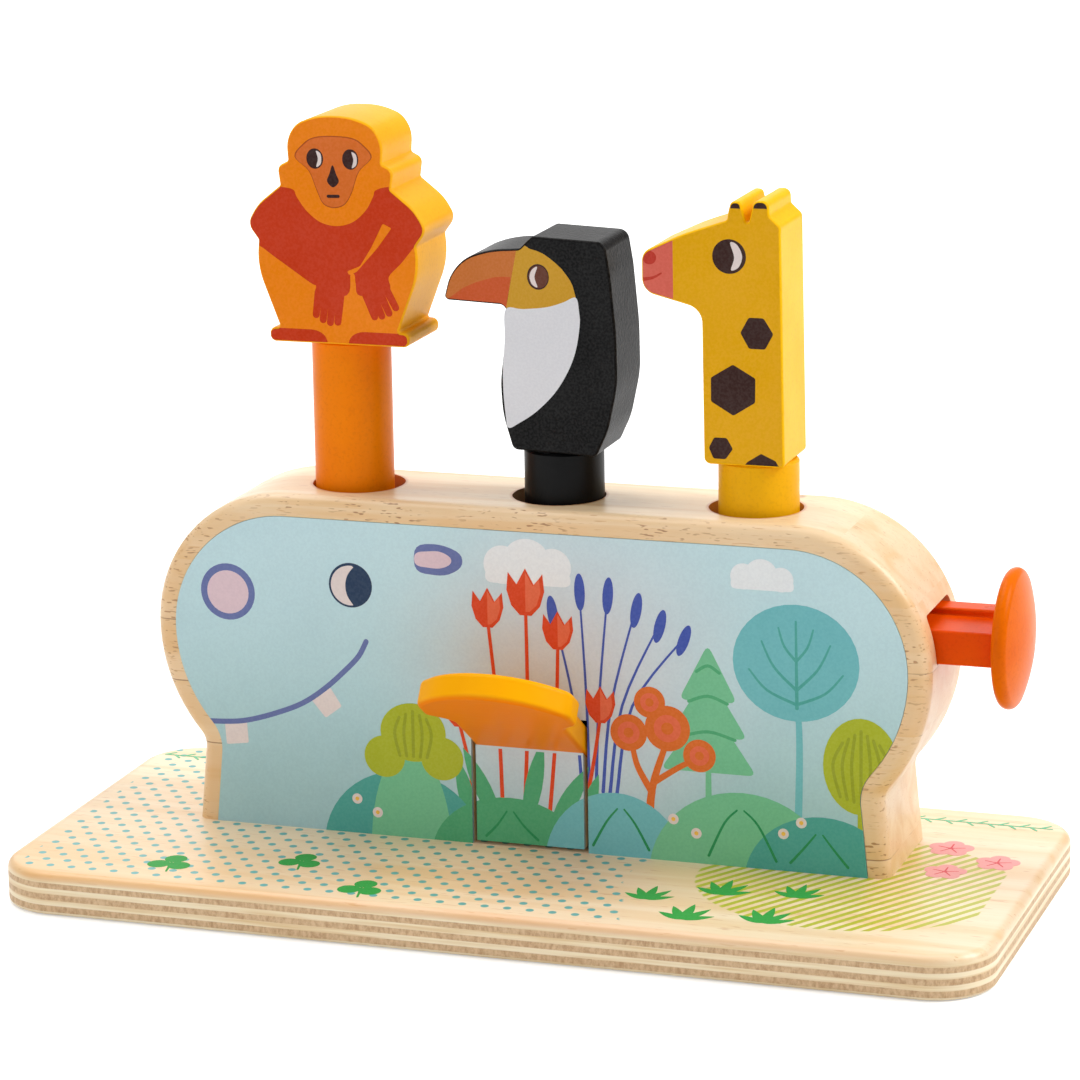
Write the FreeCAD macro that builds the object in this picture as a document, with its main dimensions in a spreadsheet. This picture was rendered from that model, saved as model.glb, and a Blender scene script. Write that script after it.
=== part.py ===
import FreeCAD, Part
import math
import os
import Sketcher

# Pop up animal toy: a hippo shaped wooden housing on a plywood base.
# A sprung monkey, a toucan lifted by the front lever and a giraffe lifted by
# the side knob each stand on a round peg.
# Millimetres. X runs along the front, Y to the back and Z up.
# The origin is the centre of the base where it stands on the floor.

DRIVING_SIZES = [
    # Base board
    ("base_length", 278.0),
    ("base_depth", 124.0),
    ("base_thick", 12.0),
    ("base_corner", 17.0),
    ("base_edge", 2.6),
    ("base_lower_edge", 1.2),
    # Housing outline, heights measured from the top of the base
    ("housing_height", 95.7),
    ("housing_depth", 40.2),
    ("housing_setback", 57.2),
    ("flat_half", 72.0),
    ("bulge_height", 56.5),
    ("jaw_radius", 48.7),
    ("neck_half", 98.4),
    ("neck_round", 5.5),
    ("leg_flare", 5.7),
    ("edge_round", 3.6),
    ("cavity_half", 86.0),
    ("cavity_round", 14.0),
    ("top_board", 17.0),
    # Panels let into the front and the back
    ("rim", 6.0),
    ("front_panel_thick", 3.4),
    ("panel_proud", 0.2),
    ("back_panel_thick", 5.0),
    ("glue_gap", 0.1),
    # Pegs, their guides and their stop pins
    ("peg_radius", 11.0),
    ("peg_hole_gap", 1.95),
    ("peg_chamfer", 0.6),
    ("guide_thick", 6.0),
    ("guide_end_land", 1.7),
    ("running_gap", 0.3),
    ("pin_radius", 2.5),
    ("pin_front_catch", 2.3),
    ("groove_depth", 3.2),
    ("groove_gap", 0.4),
    ("dowel_radius", 4.0),
    ("dowel_length", 24.0),
    ("dowel_fit", 0.05),
    ("dowel_end_gap", 0.5),
    ("stick_chamfer", 0.4),
    # Places of the peg holes, and how far each peg stands from its hole's centre
    ("monkey_hole_place", -56.8),
    ("toucan_hole_place", 1.9),
    ("giraffe_hole_place", 58.0),
    ("monkey_peg_play", -1.2),
    ("toucan_peg_play", 1.6),
    ("giraffe_peg_play", 0.75),
    ("monkey_peg_shown", 41.4),
    ("toucan_peg_shown", 13.8),
    ("giraffe_peg_shown", 13.8),
    # Figures, with the shift of each from its peg
    ("figure_round", 0.9),
    ("monkey_width", 51.0),
    ("monkey_height", 63.0),
    ("monkey_thick", 24.5),
    ("monkey_shift", 1.05),
    ("toucan_width", 49.0),
    ("toucan_height", 59.7),
    ("toucan_thick", 22.4),
    ("toucan_shift", -5.7),
    ("giraffe_width", 39.4),
    ("giraffe_height", 71.7),
    ("giraffe_thick", 23.0),
    ("giraffe_shift", -9.8),
    # Sprung monkey
    ("monkey_travel", 28.0),
    ("monkey_tail", 12.0),
    ("spigot_radius", 6.2),
    ("spigot_length", 8.0),
    ("spring_wire", 1.6),
    ("spring_radius", 8.2),
    ("spring_turns", 9.0),
    ("spring_end_gap", 0.1),
    ("post_radius", 6.2),
    ("post_length", 14.0),
    # Side knob and push bar
    ("push_travel", 13.0),
    ("knob_stop_gap", 2.1),
    ("knob_radius", 19.1),
    ("knob_thick", 7.8),
    ("knob_flat", 12.0),
    ("knob_rise", 5.4),
    ("knob_rim", 2.2),
    ("bar_bottom", 58.6),
    ("bar_width", 24.0),
    ("bar_shoulder", 9.4),
    ("rib_width", 7.6),
    ("rib_height", 2.0),
    ("bar_round", 0.8),
    ("bar_side_gap", 0.5),
    ("bar_head_gap", 1.8),
    ("bar_hole_round", 1.4),
    ("bar_pin_overhang", 2.5),
    ("giraffe_pin_inset", 5.3),
    ("knob_dowel_radius", 2.5),
    ("knob_dowel_length", 18.0),
    ("knob_dowel_depth", 5.5),
    # Front lever
    ("lever_middle", -1.2),
    ("slot_width", 33.7),
    ("slit", 1.3),
    ("pivot_inset", 5.7),
    ("pivot_height", 29.1),
    ("pivot_radius", 1.8),
    ("pivot_fit", 0.1),
    ("tab_tilt", 34.0),
    ("tab_thick", 7.5),
    ("tab_reach", 47.6),
    ("tab_half", 21.7),
    ("tab_cap_radius", 25.7),
    ("tab_tail", 4.0),
    ("tab_neck", 25.0),
    ("tab_shoulder", 28.5),
    ("tab_edge", 1.5),
    ("tab_edge_start", 7.7),
    ("tab_neck_round", 4.0),
    ("tab_shoulder_round", 2.0),
    ("tab_side_round", 6.0),
    ("tab_shift", -1.5),
    ("flap_thick", 8.0),
    ("flap_foot_gap", 1.0),
    ("arm_reach", 24.0),
    ("arm_width", 16.0),
    ("arm_drop", 0.5),
    ("nose_radius", 4.0),
    ("block_width", 14.0),
    ("block_height", 16.0),
    ("block_depth", 10.0),
    ("heel_depth", 9.7),
    ("lever_pin_end_gap", 1.0),
    # Screws
    ("base_screw_radius", 2.0),
    ("base_screw_length", 30.0),
    ("small_screw_radius", 1.5),
    ("small_screw_length", 13.0),
    ("screw_fit", 0.1),
    ("screw_sunk", 0.2),
    ("base_screw_spread", 10.0),
    ("guide_screw_spread", 8.0),
]

# The share of a side that the roundings at its two ends may take together.
ROUNDING_SHARE = 0.95

# How nearly round the ends of the grooves and the end of the tab are.
GROOVE_ROUND_SHARE = 0.95
TAB_ROUND_SHARE = 0.98
TAB_FACET = math.radians(22.5)

# The knob's rim stands this many rim radii out from the knob's back.
KNOB_RIM_PLACE = 1.2

# Where the upper back screws stand, as a share of half the flat top.
TOP_SCREW_SHARE = 0.6

# A screw's tip and the cross in its head, as shares of the shank's radius.
SCREW_TIP = 0.15
CROSS_LENGTH = 2.2
CROSS_WIDTH = 0.45
CROSS_DEPTH = 0.8
CROSS_START = -0.01

# How far a cut reaches past what it cuts, and how exactly levels are compared.
PAST = 1.0
TOLERANCE = 0.01

# Outlines of the figures, as (share of width, share of height, corner radius).
# The monkey is mirrored about its middle, so its list is one half.
MONKEY_HALF = [
    (0.400, 0.000, 1.8),
    (0.400, 0.064, 1.8),
    (0.338, 0.064, 0.6),
    (0.466, 0.335, 22.0),
    (0.450, 0.446, 1.2),
    (0.513, 0.516, 3.6),
    (0.452, 0.602, 14.0),
    (0.316, 0.689, 0.8),
    (0.330, 0.772, 2.2),
    (0.267, 0.797, 0.8),
    (0.275, 0.892, 10.0),
    (0.218, 0.960, 8.0),
    (0.100, 1.000, 22.0),
]
TOUCAN_OUTLINE = [
    (0.391, 0.012, 2.0),
    (0.874, 0.000, 1.6),
    (0.945, 0.125, 22.0),
    (1.000, 0.335, 30.0),
    (0.997, 0.560, 80.0),
    (0.966, 0.837, 25.0),
    (0.936, 0.986, 3.0),
    (0.520, 1.000, 1.6),
    (0.446, 0.942, 1.2),
    (0.270, 0.931, 30.0),
    (0.115, 0.886, 12.0),
    (0.034, 0.800, 12.0),
    (-0.001, 0.692, 1.2),
    (0.366, 0.680, 2.0),
    (0.354, 0.530, 60.0),
    (0.322, 0.320, 30.0),
    (0.333, 0.175, 30.0),
]
GIRAFFE_OUTLINE = [
    (0.441, 0.000, 1.8),
    (1.008, 0.000, 1.3),
    (0.984, 0.908, 1.8),
    (0.906, 0.947, 1.2),
    (0.902, 1.003, 2.0),
    (0.797, 1.001, 1.9),
    (0.764, 0.919, 0.5),
    (0.742, 0.919, 0.5),
    (0.708, 0.996, 1.4),
    (0.637, 0.997, 1.5),
    (0.617, 0.952, 3.0),
    (0.610, 0.925, 1.0),
    (0.300, 0.867, 60.0),
    (0.010, 0.792, 3.6),
    (0.010, 0.645, 4.5),
    (0.431, 0.587, 5.0),
]

doc = FreeCAD.newDocument("pop_up_toy")
sheet = doc.addObject("Spreadsheet::Sheet", "Sizes")
for row, (alias, number) in enumerate(DRIVING_SIZES, start=1):
    sheet.set("A%d" % row, alias)
    sheet.set("B%d" % row, str(number))
    sheet.setAlias("B%d" % row, alias)
doc.recompute()

parts = []


def size(expression):
    """The value of an expression of driving sizes, read from the sheet."""
    return float(sheet.evalExpression(expression))


def tied(expression):
    """The expression as another object of the document refers to it."""
    words = expression.replace("(", "( ").replace(")", " )").split()
    names = [alias for alias, number in DRIVING_SIZES]
    return " ".join("Sizes." + word if word in names else word for word in words)


# Levels and places that several pieces share.
FLOOR = size("base_thick")
FRONT = size("housing_setback - base_depth / 2")
BACK = FRONT + size("housing_depth")
MIDDLE = (FRONT + BACK) / 2
TOP = FLOOR + size("housing_height")
BULGE = FLOOR + size("bulge_height")
BULGE_HALF = size("flat_half") + TOP - BULGE
PANEL_FACE = FRONT - size("panel_proud")
PANEL_BACK = PANEL_FACE + size("front_panel_thick")
INNER_BACK = BACK - size("back_panel_thick")
CAVITY_TOP = TOP - size("top_board")
GUIDE_LOW = CAVITY_TOP - size("guide_thick")
GAP = size("running_gap")
PEG = size("peg_radius")
PIN = size("pin_radius")
PIN_FRONT = MIDDLE - PEG - size("pin_front_catch")
PIN_BACK = INNER_BACK + size("groove_depth - groove_gap")
PIN_AT_STOP = GUIDE_LOW - GAP - PIN
MONKEY_PEG = size("monkey_hole_place + monkey_peg_play")
TOUCAN_PEG = size("toucan_hole_place + toucan_peg_play")
GIRAFFE_PEG = size("giraffe_hole_place + giraffe_peg_play")
MONKEY_SOLE = TOP + size("monkey_peg_shown")
TOUCAN_SOLE = TOP + size("toucan_peg_shown")
GIRAFFE_SOLE = TOP + size("giraffe_peg_shown")

# The lever turns about a pin behind the front panel.
# Its nose swings from half the tilt below that pin to half the tilt above it.
TILT = math.radians(size("tab_tilt"))
PIVOT_Y = FRONT + size("pivot_inset")
PIVOT_Z = FLOOR + size("pivot_height")
NOSE_Y = PIVOT_Y + size("arm_reach") * math.cos(TILT / 2)
NOSE_Z = PIVOT_Z - size("arm_reach") * math.sin(TILT / 2)
TOUCAN_LIFT = 2 * size("arm_reach") * math.sin(TILT / 2)
TOUCAN_FOOT = NOSE_Z + size("nose_radius") + GAP
LEVER_LEFT = size("lever_middle - slot_width / 2")
LEVER_RIGHT = size("lever_middle + slot_width / 2")

# The push bar's 45 degree end slides under the giraffe's 45 degree foot.
BAR_LOW = FLOOR + size("bar_bottom")
BAR_HIGH = BAR_LOW + size("bar_shoulder + rib_height")
GIRAFFE_FOOT = BAR_LOW - size("push_travel")
KNOB_FACE = BULGE_HALF + size("push_travel + knob_stop_gap")
KNOB_LEVEL = BAR_LOW + size("knob_rise")
BAR_TIP = GIRAFFE_PEG - PEG + BAR_LOW - GIRAFFE_FOOT + GAP * math.sqrt(2)
BAR_PIN_PLACE = size("cavity_half") - GAP - PIN

MONKEY_PIN = PIN_AT_STOP
TOUCAN_PIN = PIN_AT_STOP - TOUCAN_LIFT
GIRAFFE_PIN = PIN_AT_STOP - size("push_travel")
GIRAFFE_PIN_PLACE = GIRAFFE_PEG - PEG + size("giraffe_pin_inset")

X_AXIS = FreeCAD.Vector(1, 0, 0)
Y_AXIS = FreeCAD.Vector(0, 1, 0)
Z_AXIS = FreeCAD.Vector(0, 0, 1)


# Sketches

def new_body(label):
    """A body that becomes one sub-part; its label names its file."""
    body = doc.addObject("PartDesign::Body", label)
    body.Label = label
    parts.append(body)
    return body


def new_sketch(body, plane, level=0.0):
    """A sketch on one of the body's own origin planes, at a level along the axis."""
    sketch = body.newObject("Sketcher::SketchObject", body.Name + "_sketch")
    support = [plane_of for plane_of in body.Origin.OriginFeatures if plane_of.Role == plane]
    sketch.AttachmentSupport = (support[0], "")
    sketch.MapMode = "FlatFace"
    # The XZ plane's normal points to the front, against the Y axis.
    along = -level if plane == "XZ_Plane" else level
    sketch.AttachmentOffset = FreeCAD.Placement(Z_AXIS * along, FreeCAD.Rotation())
    return sketch


def spot(x, y):
    """A point in a sketch."""
    return FreeCAD.Vector(x, y, 0)


def rounded_outline(corners):
    """Lines and tangent arcs through corners given as (x, y, radius)."""
    count = len(corners)
    points = [spot(x, y) for x, y, radius in corners]
    ways_in = [(points[index - 1] - points[index]).normalize() for index in range(count)]
    ways_out = [(points[(index + 1) % count] - points[index]).normalize() for index in range(count)]
    halves = [ways_in[index].getAngle(ways_out[index]) / 2 for index in range(count)]
    reaches = [corners[index][2] / math.tan(halves[index]) for index in range(count)]
    # Where a side is too short for its two roundings, both give way alike.
    for index in range(count):
        following = (index + 1) % count
        side = points[index].distanceToPoint(points[following])
        wanted = reaches[index] + reaches[following]
        if wanted > ROUNDING_SHARE * side:
            reaches[index] *= ROUNDING_SHARE * side / wanted
            reaches[following] *= ROUNDING_SHARE * side / wanted
    edges = []
    for index in range(count):
        here = points[index]
        start = here + ways_in[index] * reaches[index]
        end = here + ways_out[index] * reaches[index]
        if reaches[index] > 0:
            radius = reaches[index] * math.tan(halves[index])
            bisector = (ways_in[index] + ways_out[index]).normalize()
            middle = here + bisector * (radius / math.sin(halves[index]) - radius)
            edges.append(Part.Arc(start, middle, end))
        following = (index + 1) % count
        next_start = points[following] + ways_in[following] * reaches[following]
        edges.append(Part.LineSegment(end, next_start))
    return edges


def draw(sketch, edges):
    """Adds the edges of a closed outline to the sketch."""
    for edge in edges:
        sketch.addGeometry(edge, False)


def draw_polygon(sketch, points):
    """Adds a closed outline with sharp corners."""
    draw(sketch, rounded_outline([(x, y, 0) for x, y in points]))


def draw_box(sketch, left, low, right, high, radius=0):
    """Adds a rectangle with its four corners rounded alike."""
    places = ((left, low), (right, low), (right, high), (left, high))
    draw(sketch, rounded_outline([(x, y, radius) for x, y in places]))


def draw_circle(sketch, x, y, radius_expression):
    """Adds a circle whose radius is tied to the sheet."""
    circle = sketch.addGeometry(Part.Circle(spot(x, y), Z_AXIS, size(radius_expression)), False)
    sketch.addConstraint(Sketcher.Constraint("DistanceX", -1, 1, circle, 3, x))
    sketch.addConstraint(Sketcher.Constraint("DistanceY", -1, 1, circle, 3, y))
    radius = sketch.addConstraint(Sketcher.Constraint("Radius", circle, size(radius_expression)))
    name = "radius%d" % circle
    sketch.renameConstraint(radius, name)
    sketch.setExpression("Constraints." + name, tied(radius_expression))


# Features

def set_length(feature, length):
    """Ties a length to the sheet, or sets one that was worked out from angles."""
    if isinstance(length, str):
        feature.setExpression("Length", tied(length))
    else:
        feature.Length = length


def pad(body, sketch, length, backwards=False, both_ways=False):
    """A pad as long as an expression or a number says."""
    feature = body.newObject("PartDesign::Pad", body.Name + "_pad")
    feature.Profile = sketch
    set_length(feature, length)
    feature.Reversed = backwards
    feature.Midplane = both_ways
    doc.recompute()
    return feature


def pocket(body, sketch, length=None, backwards=False, both_ways=False):
    """A pocket as deep as the expression says, or through everything."""
    before = body.Shape.Volume
    feature = body.newObject("PartDesign::Pocket", body.Name + "_pocket")
    feature.Profile = sketch
    if length is None:
        feature.Type = "ThroughAll"
    else:
        set_length(feature, length)
    feature.Reversed = backwards
    feature.Midplane = both_ways
    doc.recompute()
    if body.Shape.Volume > before - TOLERANCE:
        raise ValueError(body.Label + ": a pocket cuts nothing")
    return feature


def dress_edges(body, kind, quantity, expression, test):
    """A fillet or a chamfer along the edges of the last feature that pass the test."""
    last = body.Tip
    names = ["Edge%d" % (index + 1) for index, edge in enumerate(last.Shape.Edges) if test(edge)]
    if not names:
        raise ValueError(body.Label + ": no edge to dress")
    feature = body.newObject("PartDesign::" + kind, body.Name + "_" + kind.lower())
    feature.Base = (last, names)
    feature.setExpression(quantity, tied(expression))
    doc.recompute()
    return feature


def round_edges(body, radius_expression, test):
    """A fillet along the edges that pass the test."""
    return dress_edges(body, "Fillet", "Radius", radius_expression, test)


def bevel_edges(body, size_expression, test):
    """A chamfer along the edges that pass the test."""
    return dress_edges(body, "Chamfer", "Size", size_expression, test)


def lies_at(edge, axis, level):
    """True for an edge that lies wholly at a level along an axis."""
    box = edge.BoundBox
    low = {"x": box.XMin, "y": box.YMin, "z": box.ZMin}[axis]
    high = {"x": box.XMax, "y": box.YMax, "z": box.ZMax}[axis]
    return abs(low - level) < TOLERANCE and abs(high - level) < TOLERANCE


def is_circle(edge, radius):
    """True for a round edge of that radius."""
    return isinstance(edge.Curve, Part.Circle) and abs(edge.Curve.Radius - radius) < TOLERANCE


# Housing outline, which the panels share

def hippo_outline(inset):
    """The hippo's outline, drawn in evenly by the inset, as arcs and lines."""
    flat = size("flat_half")
    top_radius = TOP - BULGE
    jaw = size("jaw_radius")
    jaw_place = BULGE_HALF - jaw
    neck = size("neck_round")
    neck_place = size("neck_half") + neck
    neck_drop = math.sqrt((jaw + neck) ** 2 - (neck_place - jaw_place) ** 2)
    neck_level = BULGE - neck_drop
    to_neck = math.atan2(-neck_drop, neck_place - jaw_place)
    flare = math.radians(size("leg_flare"))

    def on_circle(x, z, radius, angle):
        return spot(x + radius * math.cos(angle), z + radius * math.sin(angle))

    crown = spot(flat, TOP - inset)
    crown_middle = on_circle(flat, BULGE, top_radius - inset, math.pi / 4)
    side = spot(BULGE_HALF - inset, BULGE)
    jaw_middle = on_circle(jaw_place, BULGE, jaw - inset, to_neck / 2)
    jaw_end = on_circle(jaw_place, BULGE, jaw - inset, to_neck)
    neck_start = math.pi + to_neck
    neck_end = math.pi + flare
    neck_middle = on_circle(neck_place, neck_level, neck + inset, (neck_start + neck_end) / 2)
    leg = on_circle(neck_place, neck_level, neck + inset, neck_end)
    foot = spot(leg.x + (leg.y - FLOOR) * math.tan(flare), FLOOR)

    right = [
        Part.Arc(crown, crown_middle, side),
        Part.Arc(side, jaw_middle, jaw_end),
        Part.Arc(jaw_end, neck_middle, leg),
        Part.LineSegment(leg, foot),
    ]
    mirror = FreeCAD.Matrix(-1, 0, 0, 0, 0, 1, 0, 0, 0, 0, 1, 0, 0, 0, 0, 1)
    left = []
    for edge in right:
        ends = [mirror.multiply(edge.StartPoint), mirror.multiply(edge.EndPoint)]
        if isinstance(edge, Part.LineSegment):
            left.append(Part.LineSegment(*ends))
        else:
            middle = edge.value((edge.FirstParameter + edge.LastParameter) / 2)
            left.append(Part.Arc(ends[0], mirror.multiply(middle), ends[1]))
    across_top = Part.LineSegment(mirror.multiply(crown), crown)
    across_foot = Part.LineSegment(foot, mirror.multiply(foot))
    return right + [across_foot] + left + [across_top]


def leg_outside():
    """How far out the housing's leg reaches where it meets the base."""
    return max(edge.EndPoint.x for edge in hippo_outline(0) if isinstance(edge, Part.LineSegment))


LEG_PLACE = (size("cavity_half") + leg_outside()) / 2
BETWEEN_PEGS = ((MONKEY_PEG + TOUCAN_PEG) / 2, (TOUCAN_PEG + GIRAFFE_PEG) / 2)
SIDES = (-1, 1)
BASE_SCREWS = []
for side in SIDES:
    for along in SIDES:
        BASE_SCREWS.append((side * LEG_PLACE, MIDDLE + along * size("base_screw_spread")))
GUIDE_SCREWS = []
for place in BETWEEN_PEGS:
    for along in SIDES:
        GUIDE_SCREWS.append((place, MIDDLE + along * size("guide_screw_spread")))
LEDGE_PLACE = size("cavity_half") + size("2 * small_screw_radius")
BACK_SCREWS = []
for side in SIDES:
    top_screw = side * size("flat_half") * TOP_SCREW_SHARE
    BACK_SCREWS.append((top_screw, CAVITY_TOP + size("top_board - rim") / 2))
    BACK_SCREWS.append((side * (LEDGE_PLACE + BULGE_HALF - size("rim")) / 2, BULGE))
    BACK_SCREWS.append((side * LEDGE_PLACE, FLOOR + size("rim + small_screw_radius")))


# Base and housing

def make_base_board():
    """The plywood base, with countersunk screw holes from below."""
    body = new_body("base_board")
    sketch = new_sketch(body, "XY_Plane")
    half_length = size("base_length / 2")
    half_depth = size("base_depth / 2")
    draw_box(sketch, -half_length, -half_depth, half_length, half_depth, size("base_corner"))
    pad(body, sketch, "base_thick")
    round_edges(body, "base_edge", lambda edge: lies_at(edge, "z", FLOOR))
    round_edges(body, "base_lower_edge", lambda edge: lies_at(edge, "z", 0))
    holes = new_sketch(body, "XY_Plane", FLOOR)
    for x, y in BASE_SCREWS:
        draw_circle(holes, x, y, "base_screw_radius + screw_fit")
    pocket(body, holes)
    hole = size("base_screw_radius + screw_fit")
    bevel_edges(body, "base_screw_radius + screw_sunk + screw_fit",
                lambda edge: is_circle(edge, hole) and lies_at(edge, "z", 0))


def make_housing():
    """The hippo shaped wooden ring that holds the mechanism."""
    body = new_body("housing")
    sketch = new_sketch(body, "XZ_Plane", FRONT)
    draw(sketch, hippo_outline(0))
    pad(body, sketch, "housing_depth", backwards=True)
    round_edges(body, "edge_round", lambda edge: not lies_at(edge, "z", FLOOR) and (
        lies_at(edge, "y", FRONT) or lies_at(edge, "y", BACK)))

    cavity = new_sketch(body, "XZ_Plane", FRONT)
    half = size("cavity_half")
    corner = size("cavity_round")
    draw(cavity, rounded_outline([
        (-half, FLOOR - PAST, 0), (half, FLOOR - PAST, 0),
        (half, CAVITY_TOP, corner), (-half, CAVITY_TOP, corner)]))
    pocket(body, cavity)

    front_rebate = new_sketch(body, "XZ_Plane", FRONT)
    draw(front_rebate, hippo_outline(size("rim")))
    pocket(body, front_rebate, "front_panel_thick - panel_proud")
    back_rebate = new_sketch(body, "XZ_Plane", BACK)
    draw(back_rebate, hippo_outline(size("rim")))
    pocket(body, back_rebate, "back_panel_thick", backwards=True)

    peg_holes = new_sketch(body, "XY_Plane", TOP)
    for name in ("monkey", "toucan", "giraffe"):
        draw_circle(peg_holes, size(name + "_hole_place"), MIDDLE, "peg_radius + peg_hole_gap")
    pocket(body, peg_holes, "top_board")

    bar_hole = new_sketch(body, "YZ_Plane", BULGE_HALF)
    half_bar = size("bar_width / 2 + bar_side_gap")
    draw_box(bar_hole, MIDDLE - half_bar, BAR_LOW - GAP, MIDDLE + half_bar,
             BAR_HIGH + size("bar_head_gap"), size("bar_hole_round"))
    pocket(body, bar_hole, "flat_half + housing_height - bulge_height - cavity_half + cavity_round")

    leg_holes = new_sketch(body, "XY_Plane", FLOOR)
    for x, y in BASE_SCREWS:
        draw_circle(leg_holes, x, y, "base_screw_radius + screw_fit")
    pocket(body, leg_holes, "base_screw_length - base_thick + 1", backwards=True)
    ceiling_holes = new_sketch(body, "XY_Plane", CAVITY_TOP)
    for x, y in GUIDE_SCREWS:
        draw_circle(ceiling_holes, x, y, "small_screw_radius + screw_fit")
    pocket(body, ceiling_holes, "small_screw_length - guide_thick + 1", backwards=True)
    ledge_holes = new_sketch(body, "XZ_Plane", INNER_BACK)
    for x, z in BACK_SCREWS:
        draw_circle(ledge_holes, x, z, "small_screw_radius + screw_fit")
    pocket(body, ledge_holes, "small_screw_length - back_panel_thick + 1", backwards=True)


def make_front_panel():
    """The printed front panel, with the lever's slot open to the base."""
    body = new_body("front_panel")
    sketch = new_sketch(body, "XZ_Plane", PANEL_FACE)
    draw(sketch, hippo_outline(size("rim + glue_gap")))
    pad(body, sketch, "front_panel_thick", backwards=True)
    slot = new_sketch(body, "XZ_Plane", PANEL_FACE)
    draw_box(slot, LEVER_LEFT, FLOOR - PAST, LEVER_RIGHT, slot_top())
    pocket(body, slot)


def slot_top():
    """The slot's top edge, on which the raised tab rests."""
    ahead = PIVOT_Y - PANEL_FACE
    return PIVOT_Z + ahead * math.tan(TILT) + size("tab_thick") / 2 / math.cos(TILT) + GAP


def make_back_panel():
    """The back panel, with a groove inside for each stop pin and six screw holes."""
    body = new_body("back_panel")
    sketch = new_sketch(body, "XZ_Plane", INNER_BACK)
    draw(sketch, hippo_outline(size("rim + glue_gap")))
    pad(body, sketch, "back_panel_thick", backwards=True)
    half = PIN + size("groove_gap")
    grooves = new_sketch(body, "XZ_Plane", INNER_BACK)
    for place, low, high in (
            (MONKEY_PEG, MONKEY_PIN - size("monkey_travel"), MONKEY_PIN),
            (TOUCAN_PEG, TOUCAN_PIN, PIN_AT_STOP),
            (GIRAFFE_PIN_PLACE, GIRAFFE_PIN, PIN_AT_STOP)):
        corner = half * GROOVE_ROUND_SHARE
        draw_box(grooves, place - half, low - half, place + half, high + half, corner)
    pocket(body, grooves, "groove_depth")
    holes = new_sketch(body, "XZ_Plane", INNER_BACK)
    for x, z in BACK_SCREWS:
        draw_circle(holes, x, z, "small_screw_radius + screw_fit")
    pocket(body, holes)
    hole = size("small_screw_radius + screw_fit")
    bevel_edges(body, "small_screw_radius + screw_sunk + screw_fit",
                lambda edge: is_circle(edge, hole) and lies_at(edge, "y", BACK))


def make_guide_plate():
    """The plate under the top board that guides the pegs and stops their pins."""
    body = new_body("guide_plate")
    sketch = new_sketch(body, "XY_Plane", GUIDE_LOW)
    reach = PEG + GAP + size("guide_end_land")
    draw_box(sketch, MONKEY_PEG - reach, PANEL_BACK + GAP, GIRAFFE_PEG + reach, INNER_BACK - GAP)
    pad(body, sketch, "guide_thick")
    holes = new_sketch(body, "XY_Plane", CAVITY_TOP)
    for place in (MONKEY_PEG, TOUCAN_PEG, GIRAFFE_PEG):
        draw_circle(holes, place, MIDDLE, "peg_radius + running_gap")
    for x, y in GUIDE_SCREWS:
        draw_circle(holes, x, y, "small_screw_radius + screw_fit")
    pocket(body, holes)
    hole = size("small_screw_radius + screw_fit")
    bevel_edges(body, "small_screw_radius + screw_sunk + screw_fit",
                lambda edge: is_circle(edge, hole) and lies_at(edge, "z", GUIDE_LOW))


# Screws

def make_screws(label, prefix, places, turn):
    """A group of countersunk cross head screws; each place is a head's top centre."""
    radius = prefix + "_radius"
    length = prefix + "_length"
    thick = size(radius)
    shank_length = size(length) - thick - 2 * thick
    head = doc.addObject("Part::Cone", label + "_head")
    head.setExpression("Radius1", tied("2 * " + radius))
    head.setExpression("Radius2", tied(radius))
    head.setExpression("Height", tied(radius))
    shank = doc.addObject("Part::Cylinder", label + "_shank")
    shank.setExpression("Radius", tied(radius))
    shank.Height = shank_length
    shank.Placement.Base = Z_AXIS * thick
    tip = doc.addObject("Part::Cone", label + "_tip")
    tip.setExpression("Radius1", tied(radius))
    tip.Radius2 = thick * SCREW_TIP
    tip.setExpression("Height", tied("2 * " + radius))
    tip.Placement.Base = Z_AXIS * (thick + shank_length)
    solid = doc.addObject("Part::MultiFuse", label + "_solid")
    solid.Shapes = [head, shank, tip]
    slots = []
    for index in range(2):
        slot = doc.addObject("Part::Box", label + "_slot%d" % index)
        slot.Length = thick * CROSS_LENGTH
        slot.Width = thick * CROSS_WIDTH
        slot.Height = thick * CROSS_DEPTH
        turned = FreeCAD.Placement(Z_AXIS * CROSS_START, FreeCAD.Rotation(Z_AXIS, 90 * index))
        centred = FreeCAD.Vector(-slot.Length / 2, -slot.Width / 2, 0)
        slot.Placement = turned.multiply(FreeCAD.Placement(centred, FreeCAD.Rotation()))
        slots.append(slot)
    cross = doc.addObject("Part::MultiFuse", label + "_cross")
    cross.Shapes = slots
    screw = doc.addObject("Part::Cut", label + "_screw")
    screw.Base = solid
    screw.Tool = cross
    doc.recompute()
    links = []
    for index, place in enumerate(places):
        link = doc.addObject("App::Link", "%s_%d" % (label, index))
        link.LinkedObject = screw
        link.Placement = FreeCAD.Placement(place, turn)
        links.append(link)
    group = doc.addObject("Part::Compound", label)
    group.Label = label
    group.Links = links
    parts.append(group)


def make_all_screws():
    """Screws through the base, through the back panel and up through the guide plate."""
    sunk = size("screw_sunk")
    upwards = FreeCAD.Rotation()
    forwards = FreeCAD.Rotation(X_AXIS, 90)
    base_places = [FreeCAD.Vector(x, y, sunk) for x, y in BASE_SCREWS]
    back_places = [FreeCAD.Vector(x, BACK - sunk, z) for x, z in BACK_SCREWS]
    guide_places = [FreeCAD.Vector(x, y, GUIDE_LOW + sunk) for x, y in GUIDE_SCREWS]
    make_screws("base_screws", "base_screw", base_places, upwards)
    make_screws("back_panel_screws", "small_screw", back_places, forwards)
    make_screws("guide_plate_screws", "small_screw", guide_places, upwards)


# Round sticks: pins, dowels and the spring post

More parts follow.
